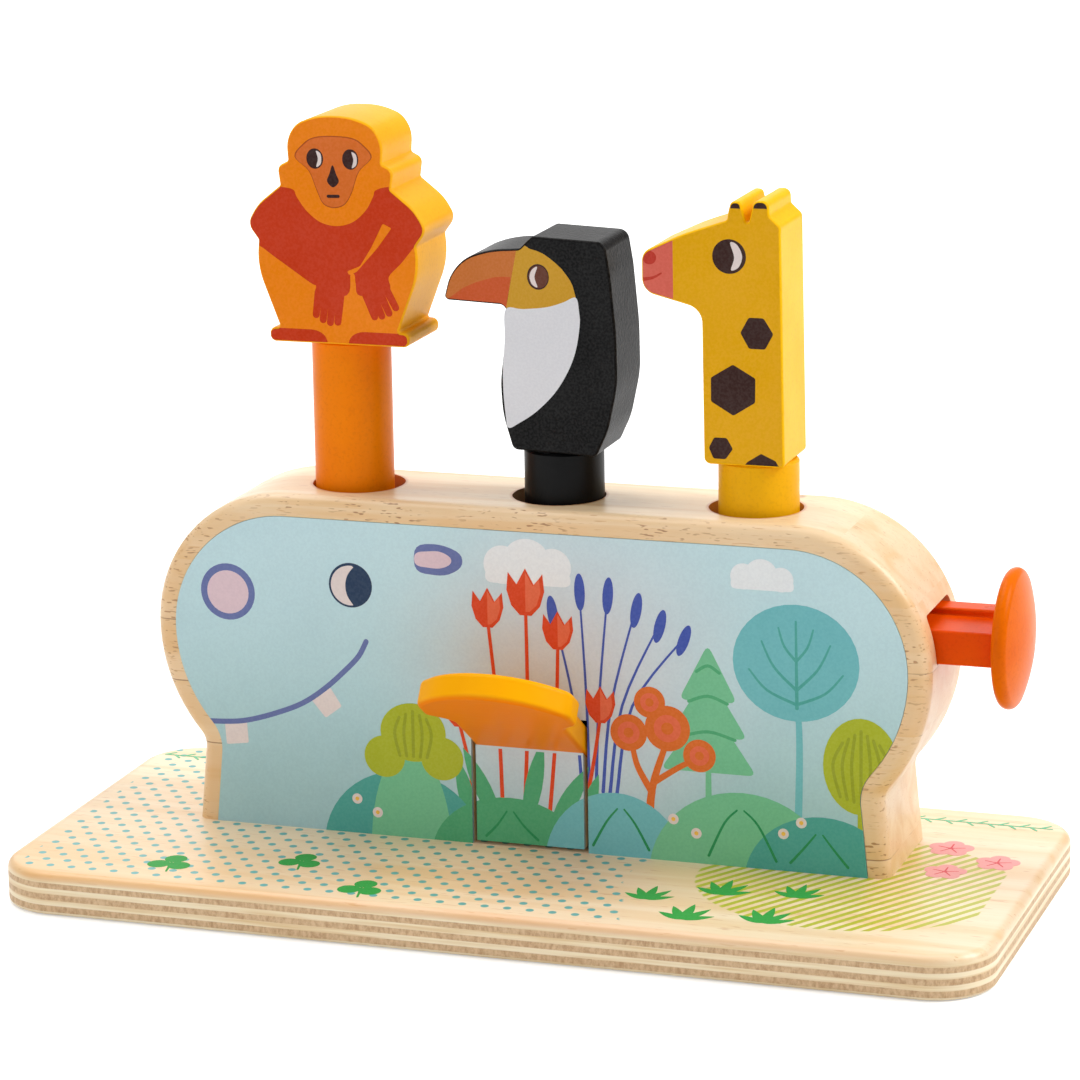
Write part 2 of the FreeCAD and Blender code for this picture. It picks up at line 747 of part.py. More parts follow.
def make_stick(label, start, direction, radius_expression, length):
    """A round stick from a starting point along an axis."""
    stick = doc.addObject("Part::Cylinder", label + "_stick")
    stick.setExpression("Radius", tied(radius_expression))
    stick.Height = length
    turn = FreeCAD.Rotation(Z_AXIS, direction)
    stick.Placement = FreeCAD.Placement(start, turn)
    ends = doc.addObject("Part::Chamfer", label)
    ends.Base = stick
    doc.recompute()
    bevel = size("stick_chamfer")
    ends.Edges = [(index + 1, bevel, bevel) for index, edge in enumerate(stick.Shape.Edges)
                  if isinstance(edge.Curve, Part.Circle)]
    ends.Label = label
    parts.append(ends)


def make_stop_pins():
    """A pin across each peg and across the push bar, which stop them leaving."""
    length = PIN_BACK - PIN_FRONT
    for label, place, level in (
            ("monkey_stop_pin", MONKEY_PEG, MONKEY_PIN),
            ("toucan_stop_pin", TOUCAN_PEG, TOUCAN_PIN),
            ("giraffe_stop_pin", GIRAFFE_PIN_PLACE, GIRAFFE_PIN)):
        make_stick(label, FreeCAD.Vector(place, PIN_FRONT, level), Y_AXIS, "pin_radius", length)
    overhang = size("bar_pin_overhang")
    start = FreeCAD.Vector(BAR_PIN_PLACE, MIDDLE - size("bar_width / 2") - overhang, bar_pin_level())
    make_stick("push_bar_stop_pin", start, Y_AXIS, "pin_radius", size("bar_width") + 2 * overhang)


def bar_pin_level():
    """The push bar's stop pin runs through the middle of the bar's lower part."""
    return BAR_LOW + size("bar_shoulder / 2")


def make_dowels():
    """Dowels that join each figure to its peg and the knob to its bar."""
    length = size("dowel_length")
    for label, place, sole in (
            ("monkey_dowel", MONKEY_PEG, MONKEY_SOLE),
            ("toucan_dowel", TOUCAN_PEG, TOUCAN_SOLE),
            ("giraffe_dowel", GIRAFFE_PEG, GIRAFFE_SOLE)):
        start = FreeCAD.Vector(place, MIDDLE, sole - length / 2)
        make_stick(label, start, Z_AXIS, "dowel_radius", length)
    knob_length = size("knob_dowel_length")
    start = FreeCAD.Vector(KNOB_FACE + size("knob_dowel_depth") - knob_length, MIDDLE, KNOB_LEVEL)
    make_stick("knob_dowel", start, X_AXIS, "knob_dowel_radius", knob_length)


# Pegs

def make_peg(label, place, low, sole, pin_place, pin_level):
    """A painted round peg with a dowel hole in its top and a hole for its stop pin."""
    body = new_body(label)
    sketch = new_sketch(body, "XY_Plane", low)
    draw_circle(sketch, place, MIDDLE, "peg_radius")
    pad(body, sketch, sole - low)
    bevel_edges(body, "peg_chamfer", lambda edge: lies_at(edge, "z", sole) and is_circle(edge, PEG))
    dowel_hole = new_sketch(body, "XY_Plane", sole)
    draw_circle(dowel_hole, place, MIDDLE, "dowel_radius + dowel_fit")
    pocket(body, dowel_hole, "dowel_length / 2 + dowel_end_gap")
    pin_hole = new_sketch(body, "XZ_Plane", MIDDLE)
    draw_circle(pin_hole, pin_place, pin_level, "pin_radius + dowel_fit")
    pocket(body, pin_hole, both_ways=True)
    return body


def make_monkey_peg():
    """The tall peg, with a spigot below that centres the spring."""
    low = MONKEY_PIN - size("monkey_tail")
    body = make_peg("monkey_peg", MONKEY_PEG, low, MONKEY_SOLE, MONKEY_PEG, MONKEY_PIN)
    sketch = new_sketch(body, "XY_Plane", low)
    draw_circle(sketch, MONKEY_PEG, MIDDLE, "spigot_radius")
    pad(body, sketch, "spigot_length", backwards=True)


def make_toucan_peg():
    """The peg over the lever's nose, its foot cut back at the front to clear the lever."""
    body = make_peg("toucan_peg", TOUCAN_PEG, TOUCAN_FOOT, TOUCAN_SOLE, TOUCAN_PEG, TOUCAN_PIN)
    heel = size("heel_depth")
    front = MIDDLE - PEG
    cut = new_sketch(body, "YZ_Plane", TOUCAN_PEG)
    draw_polygon(cut, [
        (front - PAST, TOUCAN_FOOT - PAST), (front + heel + PAST, TOUCAN_FOOT - PAST),
        (front - PAST, TOUCAN_FOOT + heel + PAST)])
    pocket(body, cut, both_ways=True)


def make_giraffe_peg():
    """The peg with a foot sloped at 45 degrees, which the push bar slides under."""
    low = GIRAFFE_FOOT
    body = make_peg("giraffe_peg", GIRAFFE_PEG, low, GIRAFFE_SOLE, GIRAFFE_PIN_PLACE, GIRAFFE_PIN)
    left = GIRAFFE_PEG - PEG
    reach = 2 * PEG + PAST
    cut = new_sketch(body, "XZ_Plane", MIDDLE)
    draw_polygon(cut, [
        (left - PAST, low - PAST), (left + reach, low - PAST), (left + reach, low + reach)])
    pocket(body, cut, both_ways=True)


# Figures

def make_figure(label, corners, name, peg_place, sole):
    """A flat wooden figure with rounded edges and a dowel hole in its sole."""
    width = size(name + "_width")
    height = size(name + "_height")
    thick = size(name + "_thick")
    middle = peg_place + size(name + "_shift")
    body = new_body(label)
    sketch = new_sketch(body, "XZ_Plane", MIDDLE - thick / 2)
    draw(sketch, rounded_outline([
        (middle + x * width, sole + z * height, radius) for x, z, radius in corners]))
    pad(body, sketch, name + "_thick", backwards=True)
    faces = (MIDDLE - thick / 2, MIDDLE + thick / 2)
    round_edges(body, "figure_round", lambda edge: any(lies_at(edge, "y", face) for face in faces))
    hole = new_sketch(body, "XY_Plane", sole)
    draw_circle(hole, peg_place, MIDDLE, "dowel_radius + dowel_fit")
    pocket(body, hole, "dowel_length / 2 + dowel_end_gap", backwards=True)


def centred_outline(outline):
    """An outline whose shares of the width are counted from its middle."""
    return [(x - 0.5, z, radius) for x, z, radius in outline]


def make_figures():
    """The monkey, the toucan and the giraffe."""
    monkey = MONKEY_HALF + [(-x, z, radius) for x, z, radius in reversed(MONKEY_HALF)]
    toucan = centred_outline(TOUCAN_OUTLINE)
    giraffe = centred_outline(GIRAFFE_OUTLINE)
    make_figure("monkey_figure", monkey, "monkey", MONKEY_PEG, MONKEY_SOLE)
    make_figure("toucan_figure", toucan, "toucan", TOUCAN_PEG, TOUCAN_SOLE)
    make_figure("giraffe_figure", giraffe, "giraffe", GIRAFFE_PEG, GIRAFFE_SOLE)


# Spring under the monkey

def biarc(start, start_way, end, end_way):
    """Two arcs that meet smoothly, between two points with given directions."""
    chord = end - start
    ways = start_way + end_way
    a = 2 * (1 - start_way.dot(end_way))
    b = 2 * chord.dot(ways)
    reach = (-b + math.sqrt(b * b + 4 * a * chord.dot(chord))) / (2 * a)
    first = start + start_way * reach
    second = end - end_way * reach
    meeting = (first + second) * 0.5
    return [arc_from(start, start_way, meeting), arc_from(meeting, (second - first).normalize(), end)]


def arc_from(start, way, end):
    """The arc that leaves a point in a direction and ends at another point."""
    chord = end - start
    across = chord - way * chord.dot(way)
    across = across.normalize()
    radius = chord.dot(chord) / (2 * chord.dot(across))
    centre = start + across * radius
    half_way = ((start - centre) + (end - centre)).normalize()
    return Part.Arc(start, centre + half_way * radius, end)


def make_monkey_spring():
    """A compression spring: one unbroken wire between the base and the peg."""
    wire = size("spring_wire")
    radius = size("spring_radius")
    turns = size("spring_turns")
    low = FLOOR + wire / 2 + size("spring_end_gap")
    high = MONKEY_PIN - size("monkey_tail") - wire / 2 - GAP
    rise = (high - low) / turns

    def place(turn):
        angle = 2 * math.pi * turn
        x = MONKEY_PEG + radius * math.cos(angle)
        y = MIDDLE + radius * math.sin(angle)
        return FreeCAD.Vector(x, y, low + rise * turn)

    def way(turn):
        angle = 2 * math.pi * turn
        around = 2 * math.pi * radius
        return FreeCAD.Vector(-around * math.sin(angle), around * math.cos(angle), rise).normalize()

    quarters = int(round(turns * 4))
    arcs = []
    for quarter in range(quarters):
        start = quarter / 4
        arcs += biarc(place(start), way(start), place(start + 0.25), way(start + 0.25))
    path = Part.Wire([arc.toShape() for arc in arcs])
    section = Part.Wire([Part.Circle(place(0), way(0), wire / 2).toShape()])
    spring = doc.addObject("Part::Feature", "monkey_spring")
    spring.Shape = path.makePipeShell([section], True, False)
    spring.Label = "monkey_spring"
    parts.append(spring)
    print("monkey spring: gap between turns %.2f mm" % (rise - wire))


def make_spring_post():
    """The stub on the base that centres the spring."""
    start = FreeCAD.Vector(MONKEY_PEG, MIDDLE, FLOOR)
    make_stick("spring_post", start, Z_AXIS, "post_radius", size("post_length"))


# Push bar and knob

def make_push_bar():
    """The painted bar, stepped along its top and cut at 45 degrees at its inner end."""
    body = new_body("push_bar")
    sketch = new_sketch(body, "YZ_Plane", BAR_TIP)
    front = MIDDLE - size("bar_width / 2")
    back = MIDDLE + size("bar_width / 2")
    shoulder = BAR_LOW + size("bar_shoulder")
    rib = back - size("rib_width")
    corner = size("bar_round")
    draw(sketch, rounded_outline([
        (front, BAR_LOW, corner), (back, BAR_LOW, corner), (back, BAR_HIGH, corner),
        (rib, BAR_HIGH, corner), (rib, shoulder, corner / 2), (front, shoulder, corner)]))
    pad(body, sketch, KNOB_FACE - BAR_TIP)
    wedge = new_sketch(body, "XZ_Plane", MIDDLE)
    reach = BAR_HIGH - BAR_LOW + PAST
    draw_polygon(wedge, [
        (BAR_TIP - PAST, BAR_LOW - PAST), (BAR_TIP + reach, BAR_LOW + reach),
        (BAR_TIP - PAST, BAR_LOW + reach)])
    pocket(body, wedge, both_ways=True)
    pin_hole = new_sketch(body, "XZ_Plane", MIDDLE)
    draw_circle(pin_hole, BAR_PIN_PLACE, bar_pin_level(), "pin_radius + dowel_fit")
    pocket(body, pin_hole, both_ways=True)
    dowel_hole = new_sketch(body, "YZ_Plane", KNOB_FACE)
    draw_circle(dowel_hole, MIDDLE, KNOB_LEVEL, "knob_dowel_radius + dowel_fit")
    pocket(body, dowel_hole, "knob_dowel_length - knob_dowel_depth + dowel_end_gap")


def make_push_knob():
    """The domed round knob on the end of the push bar, turned about the X axis."""
    body = new_body("push_knob")
    body.Placement.Base = FreeCAD.Vector(KNOB_FACE, MIDDLE, KNOB_LEVEL)
    thick = size("knob_thick")
    round_off = size("knob_rim")
    inner = spot(0, size("knob_flat"))
    rim_middle = spot(round_off * KNOB_RIM_PLACE, size("knob_radius") - round_off)

    # The back runs straight to the round rim, and meets it without a crease.
    to_rim = rim_middle - inner
    lean = math.atan2(to_rim.y, to_rim.x) + math.asin(round_off / to_rim.Length)
    back_point = rim_middle + spot(-math.sin(lean), math.cos(lean)) * round_off

    # The dome is part of a ball whose middle lies on the axis, and meets the rim likewise.
    inside = thick - round_off
    ball_place = (inside ** 2 - rim_middle.x ** 2 - rim_middle.y ** 2) / (2 * (inside - rim_middle.x))
    ball = thick - ball_place
    out = (rim_middle - spot(ball_place, 0)).normalize()
    front_point = rim_middle + out * round_off
    half_angle = math.atan2(out.y, out.x) / 2
    dome_middle = spot(ball_place + ball * math.cos(half_angle), ball * math.sin(half_angle))

    sketch = new_sketch(body, "XZ_Plane")
    draw(sketch, [
        Part.LineSegment(spot(0, 0), inner),
        Part.LineSegment(inner, back_point),
        Part.Arc(back_point, rim_middle + spot(0, round_off), front_point),
        Part.Arc(front_point, dome_middle, spot(thick, 0)),
        Part.LineSegment(spot(thick, 0), spot(0, 0)),
    ])
    turned = body.newObject("PartDesign::Revolution", "push_knob_turned")
    turned.Profile = sketch
    turned.ReferenceAxis = (sketch, ["H_Axis"])
    turned.Angle = 360
    doc.recompute()
    hole = new_sketch(body, "YZ_Plane")
    draw_circle(hole, 0, 0, "knob_dowel_radius + dowel_fit")
    pocket(body, hole, "knob_dowel_depth + dowel_end_gap", backwards=True)


# Front lever

def make_lever_tab():
    """The painted tab that is pressed; it is drawn flat and tilted about the pivot."""
    body = new_body("lever_tab")
    body.Placement = FreeCAD.Placement(
        FreeCAD.Vector(size("lever_middle + tab_shift"), PIVOT_Y, PIVOT_Z),
        FreeCAD.Rotation(X_AXIS, -size("tab_tilt")))
    neck = size("slot_width / 2 - slit / 2")
    neck_right = neck - size("tab_shift")
    neck_left = neck + size("tab_shift")
    half = size("tab_half")
    cap = size("tab_cap_radius")
    reach = size("tab_reach")
    slant = cap * math.tan(TAB_FACET)
    side = reach - cap + cap * math.sqrt(2) - half
    neck_end = size("tab_neck")
    neck_round = size("tab_neck_round")
    right = [
        (half, -size("tab_shoulder"), size("tab_shoulder_round")),
        (half, -side, size("tab_side_round")),
        (slant, -reach, cap * TAB_ROUND_SHARE),
    ]
    left = [(-x, y, radius) for x, y, radius in reversed(right)]
    right = [(neck_right, size("tab_tail"), 0), (neck_right, -neck_end, neck_round)] + right
    left = left + [(-neck_left, -neck_end, neck_round), (-neck_left, size("tab_tail"), 0)]
    sketch = new_sketch(body, "XY_Plane")
    draw(sketch, rounded_outline(right + left))
    pad(body, sketch, "tab_thick", both_ways=True)
    start = -size("tab_edge_start")
    round_edges(body, "tab_edge", lambda edge: (
        edge.BoundBox.YMax < start and edge.BoundBox.ZLength < TOLERANCE))
    hole = new_sketch(body, "YZ_Plane")
    draw_circle(hole, 0, 0, "pivot_radius + pivot_fit")
    pocket(body, hole, both_ways=True)


def flap_top(y):
    """The height of the tab's underside at a place Y."""
    return PIVOT_Z + (PIVOT_Y - y) * math.tan(TILT) - size("tab_thick") / 2 / math.cos(TILT)


def make_lever_flap():
    """The printed flap below the tab, which fills the slot and swings inwards."""
    body = new_body("lever_flap")
    sketch = new_sketch(body, "YZ_Plane", size("lever_middle"))
    low = FLOOR + size("flap_foot_gap")
    back = PANEL_FACE + size("flap_thick")
    draw_polygon(sketch, [
        (PANEL_FACE, low), (back, low), (back, flap_top(back)), (PANEL_FACE, flap_top(PANEL_FACE))])
    pad(body, sketch, "slot_width - 2 * slit", both_ways=True)


def make_lever_arm():
    """The arm behind the flap, with the round nose that lifts the toucan's peg."""
    body = new_body("lever_arm")
    sketch = new_sketch(body, "YZ_Plane", TOUCAN_PEG)
    back = PANEL_FACE + size("flap_thick")
    nose = size("nose_radius")
    low = spot(back, NOSE_Z - nose)
    high = spot(back, flap_top(back) - size("arm_drop"))
    under = spot(NOSE_Y, NOSE_Z - nose)
    over = spot(NOSE_Y, NOSE_Z + nose)
    draw(sketch, [
        Part.LineSegment(low, under),
        Part.Arc(under, spot(NOSE_Y + nose, NOSE_Z), over),
        Part.LineSegment(over, high),
        Part.LineSegment(high, low),
    ])
    pad(body, sketch, "arm_width", both_ways=True)


def make_pivot_blocks():
    """Two blocks behind the front panel that carry the lever's pin."""
    for label, left in (
            ("pivot_block_left", LEVER_LEFT - size("block_width") - GAP),
            ("pivot_block_right", LEVER_RIGHT + GAP)):
        body = new_body(label)
        sketch = new_sketch(body, "YZ_Plane", left)
        half = size("block_height / 2")
        draw_box(sketch, PANEL_BACK, PIVOT_Z - half, PANEL_BACK + size("block_depth"), PIVOT_Z + half)
        pad(body, sketch, "block_width")
        hole = new_sketch(body, "YZ_Plane", left)
        draw_circle(hole, PIVOT_Y, PIVOT_Z, "pivot_radius + dowel_fit")
        pocket(body, hole, backwards=True)


def make_lever_pin():
    """The pin that the lever turns on."""
    overlap = size("block_width - lever_pin_end_gap")
    start = FreeCAD.Vector(LEVER_LEFT - overlap, PIVOT_Y, PIVOT_Z)
    make_stick("lever_pin", start, X_AXIS, "pivot_radius", LEVER_RIGHT - LEVER_LEFT + 2 * overlap)


# Making everything

def make_all():
    """Builds every sub-part."""
    make_base_board()
    make_housing()
    make_front_panel()
    make_back_panel()
    make_guide_plate()
    make_all_screws()
    make_monkey_peg()
    make_toucan_peg()
    make_giraffe_peg()
    make_figures()
    make_stop_pins()
    make_dowels()
    make_monkey_spring()
    make_spring_post()
    make_push_bar()
    make_push_knob()
    make_lever_tab()
    make_lever_flap()
    make_lever_arm()
    make_pivot_blocks()
    make_lever_pin()
    doc.recompute()


def check_all():
    """Stops if any object failed or any sub-part has no sound shape."""
    for thing in doc.Objects:
        if "Invalid" in thing.State or "Error" in thing.State:
            raise ValueError(thing.Name + " failed")
    for part in parts:
        if part.Shape.isNull() or not part.Shape.isValid():
            raise ValueError(part.Label + " has no sound shape")


def write_all():
    """Writes each sub-part to its own file."""
    os.makedirs("parts", exist_ok=True)
    for part in parts:
        part.Shape.exportStep(os.path.join("parts", part.Label + ".step"))
        box = part.Shape.BoundBox
        print("%-22s %d solid, %9.1f mm3, X %.1f to %.1f, Y %.1f to %.1f, Z %.1f to %.1f" % (
            part.Label, len(part.Shape.Solids), part.Shape.Volume,
            box.XMin, box.XMax, box.YMin, box.YMax, box.ZMin, box.ZMax))
    print("lever turns %.1f degrees and lifts the toucan %.2f mm, %.3f mm for each radian" % (
        size("tab_tilt"), TOUCAN_LIFT, TOUCAN_LIFT / TILT))
    print("pivot at Y %.3f, Z %.3f" % (PIVOT_Y, PIVOT_Z))


make_all()
check_all()
write_all()
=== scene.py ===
# %% [markdown]
# # A pop up animal toy
# The toy is a hippo shaped wooden housing on a plywood base. Three animals stand on
# round pegs in its top: a sprung monkey, a toucan that the front lever lifts and a
# giraffe that the side knob lifts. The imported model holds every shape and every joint,
# so this file adds the finish: wood, paint and the printed pictures.

# %% Load the fixed model
import math

import bpy
from mathutils import Matrix, Vector


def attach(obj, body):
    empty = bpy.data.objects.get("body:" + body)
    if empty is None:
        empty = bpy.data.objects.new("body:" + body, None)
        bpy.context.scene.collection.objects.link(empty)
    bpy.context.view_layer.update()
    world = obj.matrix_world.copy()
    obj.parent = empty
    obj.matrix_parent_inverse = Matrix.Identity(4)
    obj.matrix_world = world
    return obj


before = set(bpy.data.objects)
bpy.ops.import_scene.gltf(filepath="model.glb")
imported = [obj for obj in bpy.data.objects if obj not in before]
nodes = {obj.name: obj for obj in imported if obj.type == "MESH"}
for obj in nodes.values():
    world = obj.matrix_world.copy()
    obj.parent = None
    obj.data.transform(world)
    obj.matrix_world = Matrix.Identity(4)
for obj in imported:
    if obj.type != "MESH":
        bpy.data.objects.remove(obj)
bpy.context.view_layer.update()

MM = 0.001
bpy.ops.object.select_all(action="DESELECT")

# %% [markdown]
# The camera stands in front, a little to the right and above, far away with a long
# lens, as a catalogue picture is taken. Its three directions are worked out from two
# angles and a slight roll, which keeps every number readable.

# %% Camera
AZIMUTH = math.radians(18.773)
ELEVATION = math.radians(14.059)
ROLL = -0.0163
AIM = Vector((1.26, 0.0, 98.5)) * MM
DISTANCE = 1169.8
LENS = 143.52
SENSOR = 36

across = Vector((math.cos(AZIMUTH), math.sin(AZIMUTH), 0))
towards_camera = Vector((
    math.sin(AZIMUTH) * math.cos(ELEVATION),
    -math.cos(AZIMUTH) * math.cos(ELEVATION),
    math.sin(ELEVATION)))
upwards = towards_camera.cross(across)
camera_x = across * math.cos(ROLL) + upwards * math.sin(ROLL)
camera_y = upwards * math.cos(ROLL) - across * math.sin(ROLL)

bpy.ops.object.camera_add()
camera = bpy.context.object
camera.name = "camera"
turn = Matrix((camera_x, camera_y, towards_camera)).transposed().to_4x4()
spot = AIM + towards_camera * DISTANCE * MM
camera.matrix_world = Matrix.Translation(spot) @ turn
camera.data.lens = LENS
camera.data.sensor_width = SENSOR
camera.data.clip_start = 0.05
camera.data.clip_end = 50
bpy.context.scene.camera = camera
print("camera at", [round(value, 4) for value in spot])

# %% [markdown]
# Every finish is made of shader nodes. One small class wraps an output socket, so that
# sums on values can be written as ordinary expressions, and one method adds any other
# node from its kind, its settings and what goes into it.

# %% Shader sums
class Value:
    """An output socket that can be used in a sum."""

    def __init__(self, finish, socket):
        self.finish = finish
        self.socket = socket

    def maths(self, operation, *values):
        inputs = dict(enumerate(values))
        return self.finish.node("ShaderNodeMath", {"operation": operation}, inputs)

    def __add__(self, other):
        return self.maths("ADD", self, other)

    def __sub__(self, other):
        return self.maths("SUBTRACT", self, other)

    def __mul__(self, other):
        return self.maths("MULTIPLY", self, other)

    def __truediv__(self, other):
        return self.maths("DIVIDE", self, other)

    def __rsub__(self, other):
        return self.maths("SUBTRACT", other, self)

    __radd__ = __add__
    __rmul__ = __mul__

    def size(self):
        """The value without its sign."""
        return self.maths("ABSOLUTE", self)

    def part(self):
        """What is left above the whole number."""
        return self.maths("FRACT", self)

    def whole(self):
        return self.maths("FLOOR", self)

    def root(self):
        return self.maths("SQRT", self)

    def limited(self):
        """The value, kept between 0 and 1."""
        return self.maths("MINIMUM", self.maths("MAXIMUM", self, 0.0), 1.0)

    def step(self, low, high):
        """0 below low, 1 above high and smooth between them."""
        settings = {"interpolation_type": "SMOOTHSTEP"}
        return self.finish.node("ShaderNodeMapRange", settings, {0: self, 1: low, 2: high})


# %% Finishes
class Finish:
    """A material made of nodes."""

    def __init__(self, name):
        self.material = bpy.data.materials.new(name)
        self.material.use_nodes = True
        self.tree = self.material.node_tree
        self.tree.nodes.clear()
        self.place = self.node("ShaderNodeTexCoord", output="Object")

    def node(self, kind, settings=None, inputs=None, output=0):
        """Adds a node; its settings come first, then the values or links of its sockets."""
        made = self.tree.nodes.new(kind)
        for name, setting in (settings or {}).items():
            setattr(made, name, setting)
        for key, value in (inputs or {}).items():
            if isinstance(value, Value):
                self.tree.links.new(value.socket, made.inputs[key])
            else:
                made.inputs[key].default_value = value
        return Value(self, made.outputs[output])

    def axis(self, name):
        """One coordinate of the place on the piece, in millimetres."""
        found = self.node("ShaderNodeSeparateXYZ", inputs={0: self.place}, output=name)
        return found * 1000.0

    def noise(self, stretch, detail=2.0, roughness=0.5, twist=0.0, shift=None):
        """Noise with so many waves for each metre along X, Y and Z, moved by a shift."""
        inputs = {"Vector": self.place, "Scale": stretch}
        if shift is not None:
            moved = self.node("ShaderNodeCombineXYZ", inputs={0: shift, 1: shift, 2: shift})
            inputs["Vector"] = self.node(
                "ShaderNodeVectorMath", {"operation": "ADD"}, {0: self.place, 1: moved})
        stretched = self.node("ShaderNodeMapping", inputs=inputs)
        return self.node("ShaderNodeTexNoise", inputs={
            "Vector": stretched, "Scale": 1.0, "Detail": detail,
            "Roughness": roughness, "Distortion": twist})

    def mix(self, share, first, second, blend="MIX"):
        """A colour between two colours."""
        settings = {"data_type": "RGBA", "blend_type": blend}
        return self.node("ShaderNodeMix", settings, {0: share, 6: first, 7: second}, output=2)

    def relief(self, height, distance):
        """A bump whose height goes from 0 to the distance in metres."""
        inputs = {"Height": height, "Distance": distance, "Strength": 1.0}
        return self.node("ShaderNodeBump", inputs=inputs)

    def surface(self, **inputs):
        """Ends the material with its surface shader."""
        named = {name.replace("_", " "): value for name, value in inputs.items()}
        shader = self.node("ShaderNodeBsdfPrincipled", inputs=named)
        self.node_out(shader)
        return self.material

    def node_out(self, shader):
        """Leads a shader to the material's output."""
        end = self.tree.nodes.new("ShaderNodeOutputMaterial")
        self.tree.links.new(shader.socket, end.inputs["Surface"])


def colour(red, green, blue):
    """A colour given as a screen shows it, from 0 to 255, made linear for the shader."""
    def linear(level):
        share = level / 255
        return share / 12.92 if share <= 0.04045 else ((share + 0.055) / 1.055) ** 2.4
    return (linear(red), linear(green), linear(blue), 1.0)


# %% [markdown]
# Wood is one family. Its grain is noise that is stretched along the board: broad bands
# for the growth rings, fine lines for the fibres and short dark flecks for the pores.
# The rings and the fibres change the colour a little, and the fibres also carry a
# faint relief under a satin varnish.

# %% Wood grain
def grain(finish, lengthwise, shift=None):
    """Growth rings, fibres and pores of wood whose fibres run along one axis."""
    def stretch(along, other):
        return tuple(along if axis == lengthwise else other for axis in "XYZ")
    rings = finish.noise(stretch(7.0, 95.0), 3.0, 0.5, 0.9, shift)
    fibres = finish.noise(stretch(55.0, 1500.0), 2.0, 0.6, 0.0, shift)
    pores = finish.noise(stretch(170.0, 1300.0), 1.0, 0.5, 0.0, shift)
    return rings.step(0.35, 0.72), fibres, pores.step(0.66, 0.74)


def wood_colour(finish, lengthwise, pale, warm, dark, shift=None):
    """The colour of bare wood and the height of its fibres."""
    rings, fibres, pores = grain(finish, lengthwise, shift)
    ground = finish.mix(rings, pale, warm)
    ground = finish.mix((fibres.step(0.35, 0.8) * 0.22), ground, warm)
    ground = finish.mix(pores * 0.45, ground, dark)
    return ground, fibres - pores * 0.5


def plain_wood(name, lengthwise, pale, warm, dark):
    """Unpainted wood, for the pieces behind and inside."""
    finish = Finish(name)
    ground, height = wood_colour(finish, lengthwise, pale, warm, dark)
    return finish.surface(
        Base_Color=ground, Roughness=0.5 + height * 0.1,
        Normal=finish.relief(height, 0.00006))


PALE = colour(238, 214, 176)
WARM = colour(226, 188, 136)
DARK = colour(168, 112, 62)
plain = plain_wood("plain_wood", "X", PALE, WARM, DARK)
upright = plain_wood("upright_wood", "Z", PALE, WARM, DARK)
print("plain wood made")

# %% [markdown]
# The housing is glued up from boards lying flat, 17.6 mm high. Each board gets its own
# shift of the grain and its own tone, and a thin dark glue line shows where two boards
# meet on the ends. The rounded rim was sanded and varnished and is warmer than the rest.

# %% Housing wood
BOARD_HEIGHT = 17.6
BOARD_JOINT = 34.7
PEG_HOLES = (-56.8, 1.9, 58.0)
PEG_HOLE_Y = 15.3
HOLE_EDGE = (13.0, 14.1)
KNOT = (66.5, 30.0)


def housing_wood():
    """Varnished boards with a warm rim, stained holes, one knot and glue lines."""
    finish = Finish("housing_wood")
    x, y, z = finish.axis("X"), finish.axis("Y"), finish.axis("Z")
    boards = (z - BOARD_JOINT) / BOARD_HEIGHT
    number = boards.whole()
    ground, height = wood_colour(
        finish, "X", colour(246, 226, 192), colour(232, 197, 146), colour(176, 112, 58),
        number * 0.37)
    tone = finish.node(
        "ShaderNodeTexWhiteNoise", {"noise_dimensions": "1D"}, {"W": number + 3.5})
    ground = finish.mix(tone * 0.22, ground, colour(224, 180, 122))

    rim = 1 - (y + 4.8).step(0.4, 4.6)
    rim = rim.maths("MAXIMUM", rim, (y - 31.2).step(0.0, 4.0))
    blotches = finish.noise((60.0, 60.0, 60.0), 2.0)
    ground = finish.mix(rim * (0.1 + blotches * 0.4), ground, colour(222, 166, 96))
    dashes = finish.noise((330.0, 900.0, 1500.0), 1.0).step(0.62, 0.7)
    dashes = dashes * finish.noise((35.0, 35.0, 35.0), 2.0).step(0.42, 0.6)
    ground = finish.mix(dashes * (0.06 + rim * 0.7), ground, colour(150, 88, 38))
    ends = (x.size() - 84.0).step(0.0, 26.0)
    ground = finish.mix(ends * (0.12 + blotches * 0.2), ground, colour(228, 178, 120))

    on_top = (z - 90.0).step(0.0, 1.0)
    off_y = y - PEG_HOLE_Y
    for middle in PEG_HOLES:
        from_hole = ((x - middle) * (x - middle) + off_y * off_y).root()
        ring = (1 - from_hole.step(*HOLE_EDGE)) * on_top
        ground = finish.mix(ring * 0.65, ground, colour(196, 120, 52))
    knot_x, knot_y = x - KNOT[0], y - KNOT[1]
    off_knot = (knot_x * knot_x + knot_y * knot_y * 0.7).root()
    knot = (1 - off_knot.step(0.6, 1.9)) * on_top
    ground = finish.mix(knot * 0.6, ground, colour(150, 92, 46))

    edge = 0.5 - (boards.part() - 0.5).size()
    below_top = 1 - (z - 80.0).step(0.0, 2.0)
    broken = finish.noise((30.0, 160.0, 30.0), 1.0).step(0.42, 0.55)
    line = (1 - edge.step(0.004, 0.014)) * below_top * broken
    line = line * (x.size() - 70.0).step(0.0, 12.0)
    ground = finish.mix(line * (0.12 + rim * 0.6), ground, colour(130, 78, 38))
    return finish.surface(
        Base_Color=ground, Roughness=0.36 + height * 0.08,
        Normal=finish.relief(height - line * 2, 0.00004),
        Coat_Weight=0.25, Coat_Roughness=0.25)


